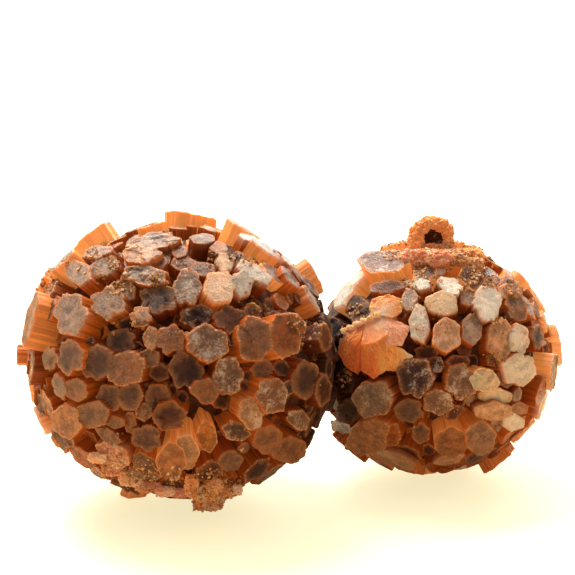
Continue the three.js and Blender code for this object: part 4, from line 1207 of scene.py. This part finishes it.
def clayHeart():
    # the clay that shows between the crystals
    shape = bmesh.new()
    for ball in (largeBall, smallBall):
        centre = ball["centre"] * mm
        place = Matrix.Translation(centre) @ Matrix.Diagonal((*(ball["radii"] * clayLook["share"] * mm), 1))
        made = bmesh.ops.create_icosphere(shape, subdivisions=5, radius=1.0, matrix=place)
        for vert in made["verts"]:
            knobbly = fractal(vert.co * clayLook["knobScale"], 0.6, 2.1, 4) * clayLook["knobs"]
            vert.co += (vert.co - centre).normalized() * knobbly
    mesh = bpy.data.meshes.new("clay_heart")
    shape.to_mesh(mesh)
    shape.free()
    mesh.materials.append(clay)
    return inScene("clay_heart", mesh)


pieces.append(clayHeart())
print("clay heart made")

for piece in pieces:
    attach(piece, "root")
    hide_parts("crystal_cluster")

# Floor, light and camera. What the eye sees of the floor and sky is set apart from the light that they give.
stageLook = {
    "floor": (0.92, 0.66, 0.36, 1), "floorSeen": (0.62, 0.60, 0.46, 1), "paintedWarmShadow": (0.82, 0.74, 0.48, 1),
    "farGlow": (1.2, 1.2, 1.2, 1), "roughness": 0.8, "paintedShadowWidth": 0.085, "paintedShadowDepth": 0.070,
    "sky": (1, 0.985, 0.96, 1), "front": 0.07, "back": 0.92, "toBack": (0.0, 0.55, 0.83),
    "lampTone": (1.0, 0.98, 0.95), "key": 4.3, "behind": 4.2,
}
floorMesh = bpy.data.meshes.new("floor")
floorMesh.from_pydata([(-3, -3, 0), (3, -3, 0), (3, 3, 0), (-3, 3, 0)], [], [(0, 1, 2, 3)])
floor = inScene("floor", floorMesh)
paper, paperTree = newMaterial("paper")
seenFloor = wire(paperTree, "ShaderNodeLightPath", None, "Is Camera Ray")
# the floor that the eye sees glows evenly, but darker and warmer round the cluster: a painted shadow with a painted
# warm bounce
fromCluster = along("LENGTH", objectPlace(paperTree) * (
    1 / stageLook["paintedShadowWidth"], 1 / stageLook["paintedShadowDepth"], 0))
paperShader = wire(paperTree, "ShaderNodeBsdfPrincipled", {
    "Base Color": blend(seenFloor, stageLook["floor"], stageLook["floorSeen"]), "Roughness": stageLook["roughness"],
    "Emission Color": blend(span(fromCluster, 0.55, 1.15), stageLook["paintedWarmShadow"], stageLook["farGlow"]),
    "Emission Strength": seenFloor})
put(paperTree, "ShaderNodeOutputMaterial", {"Surface": paperShader})
floorMesh.materials.append(paper)

world = bpy.data.worlds.new("studio")
bpy.context.scene.world = world
world.use_nodes = True
skyTree = world.node_tree
skyTree.nodes.clear()
seenBare = wire(skyTree, "ShaderNodeLightPath", None, "Is Camera Ray")
towardBack = along("DOT_PRODUCT", wire(skyTree, "ShaderNodeTexCoord", None, "Generated"), stageLook["toBack"])
skyLight = wire(skyTree, "ShaderNodeBackground", {
    "Color": stageLook["sky"], "Strength": span(towardBack, -0.35, 0.95, stageLook["front"], stageLook["back"])})
plain = wire(skyTree, "ShaderNodeBackground", {"Color": (1, 1, 1, 1), "Strength": 1.0})
mixed = wire(skyTree, "ShaderNodeMixShader", {0: seenBare, 1: skyLight, 2: plain})
put(skyTree, "ShaderNodeOutputWorld", {0: mixed})


def lamp(name, place, aim, width, strength):
    data = bpy.data.lights.new(name, "AREA")
    data.shape = "SQUARE"
    data.size = width
    data.energy = strength
    data.color = stageLook["lampTone"]
    bulb = inScene(name, data)
    bulb.location = place
    bulb.rotation_euler = (Vector(aim) - Vector(place)).to_track_quat("-Z", "Y").to_euler()


lamp("top_softbox", (-0.14, 0.20, 0.46), (0, 0, 0.02), 0.28, stageLook["key"])
lamp("back_softbox", (0.05, 0.55, 0.30), (0, 0, 0.02), 0.5, stageLook["behind"])

cameraData = bpy.data.cameras.new("camera")
cameraData.lens = eye["lens"]
cameraData.sensor_width = 36
cameraData.clip_start = 0.01
camera = inScene("camera", cameraData)
camera.location = eyePlace * mm
camera.rotation_euler = (math.pi / 2 - eye["pitch"], 0, 0)
bpy.context.scene.camera = camera
bpy.context.scene.view_settings.view_transform = "Standard"
print("stage set")
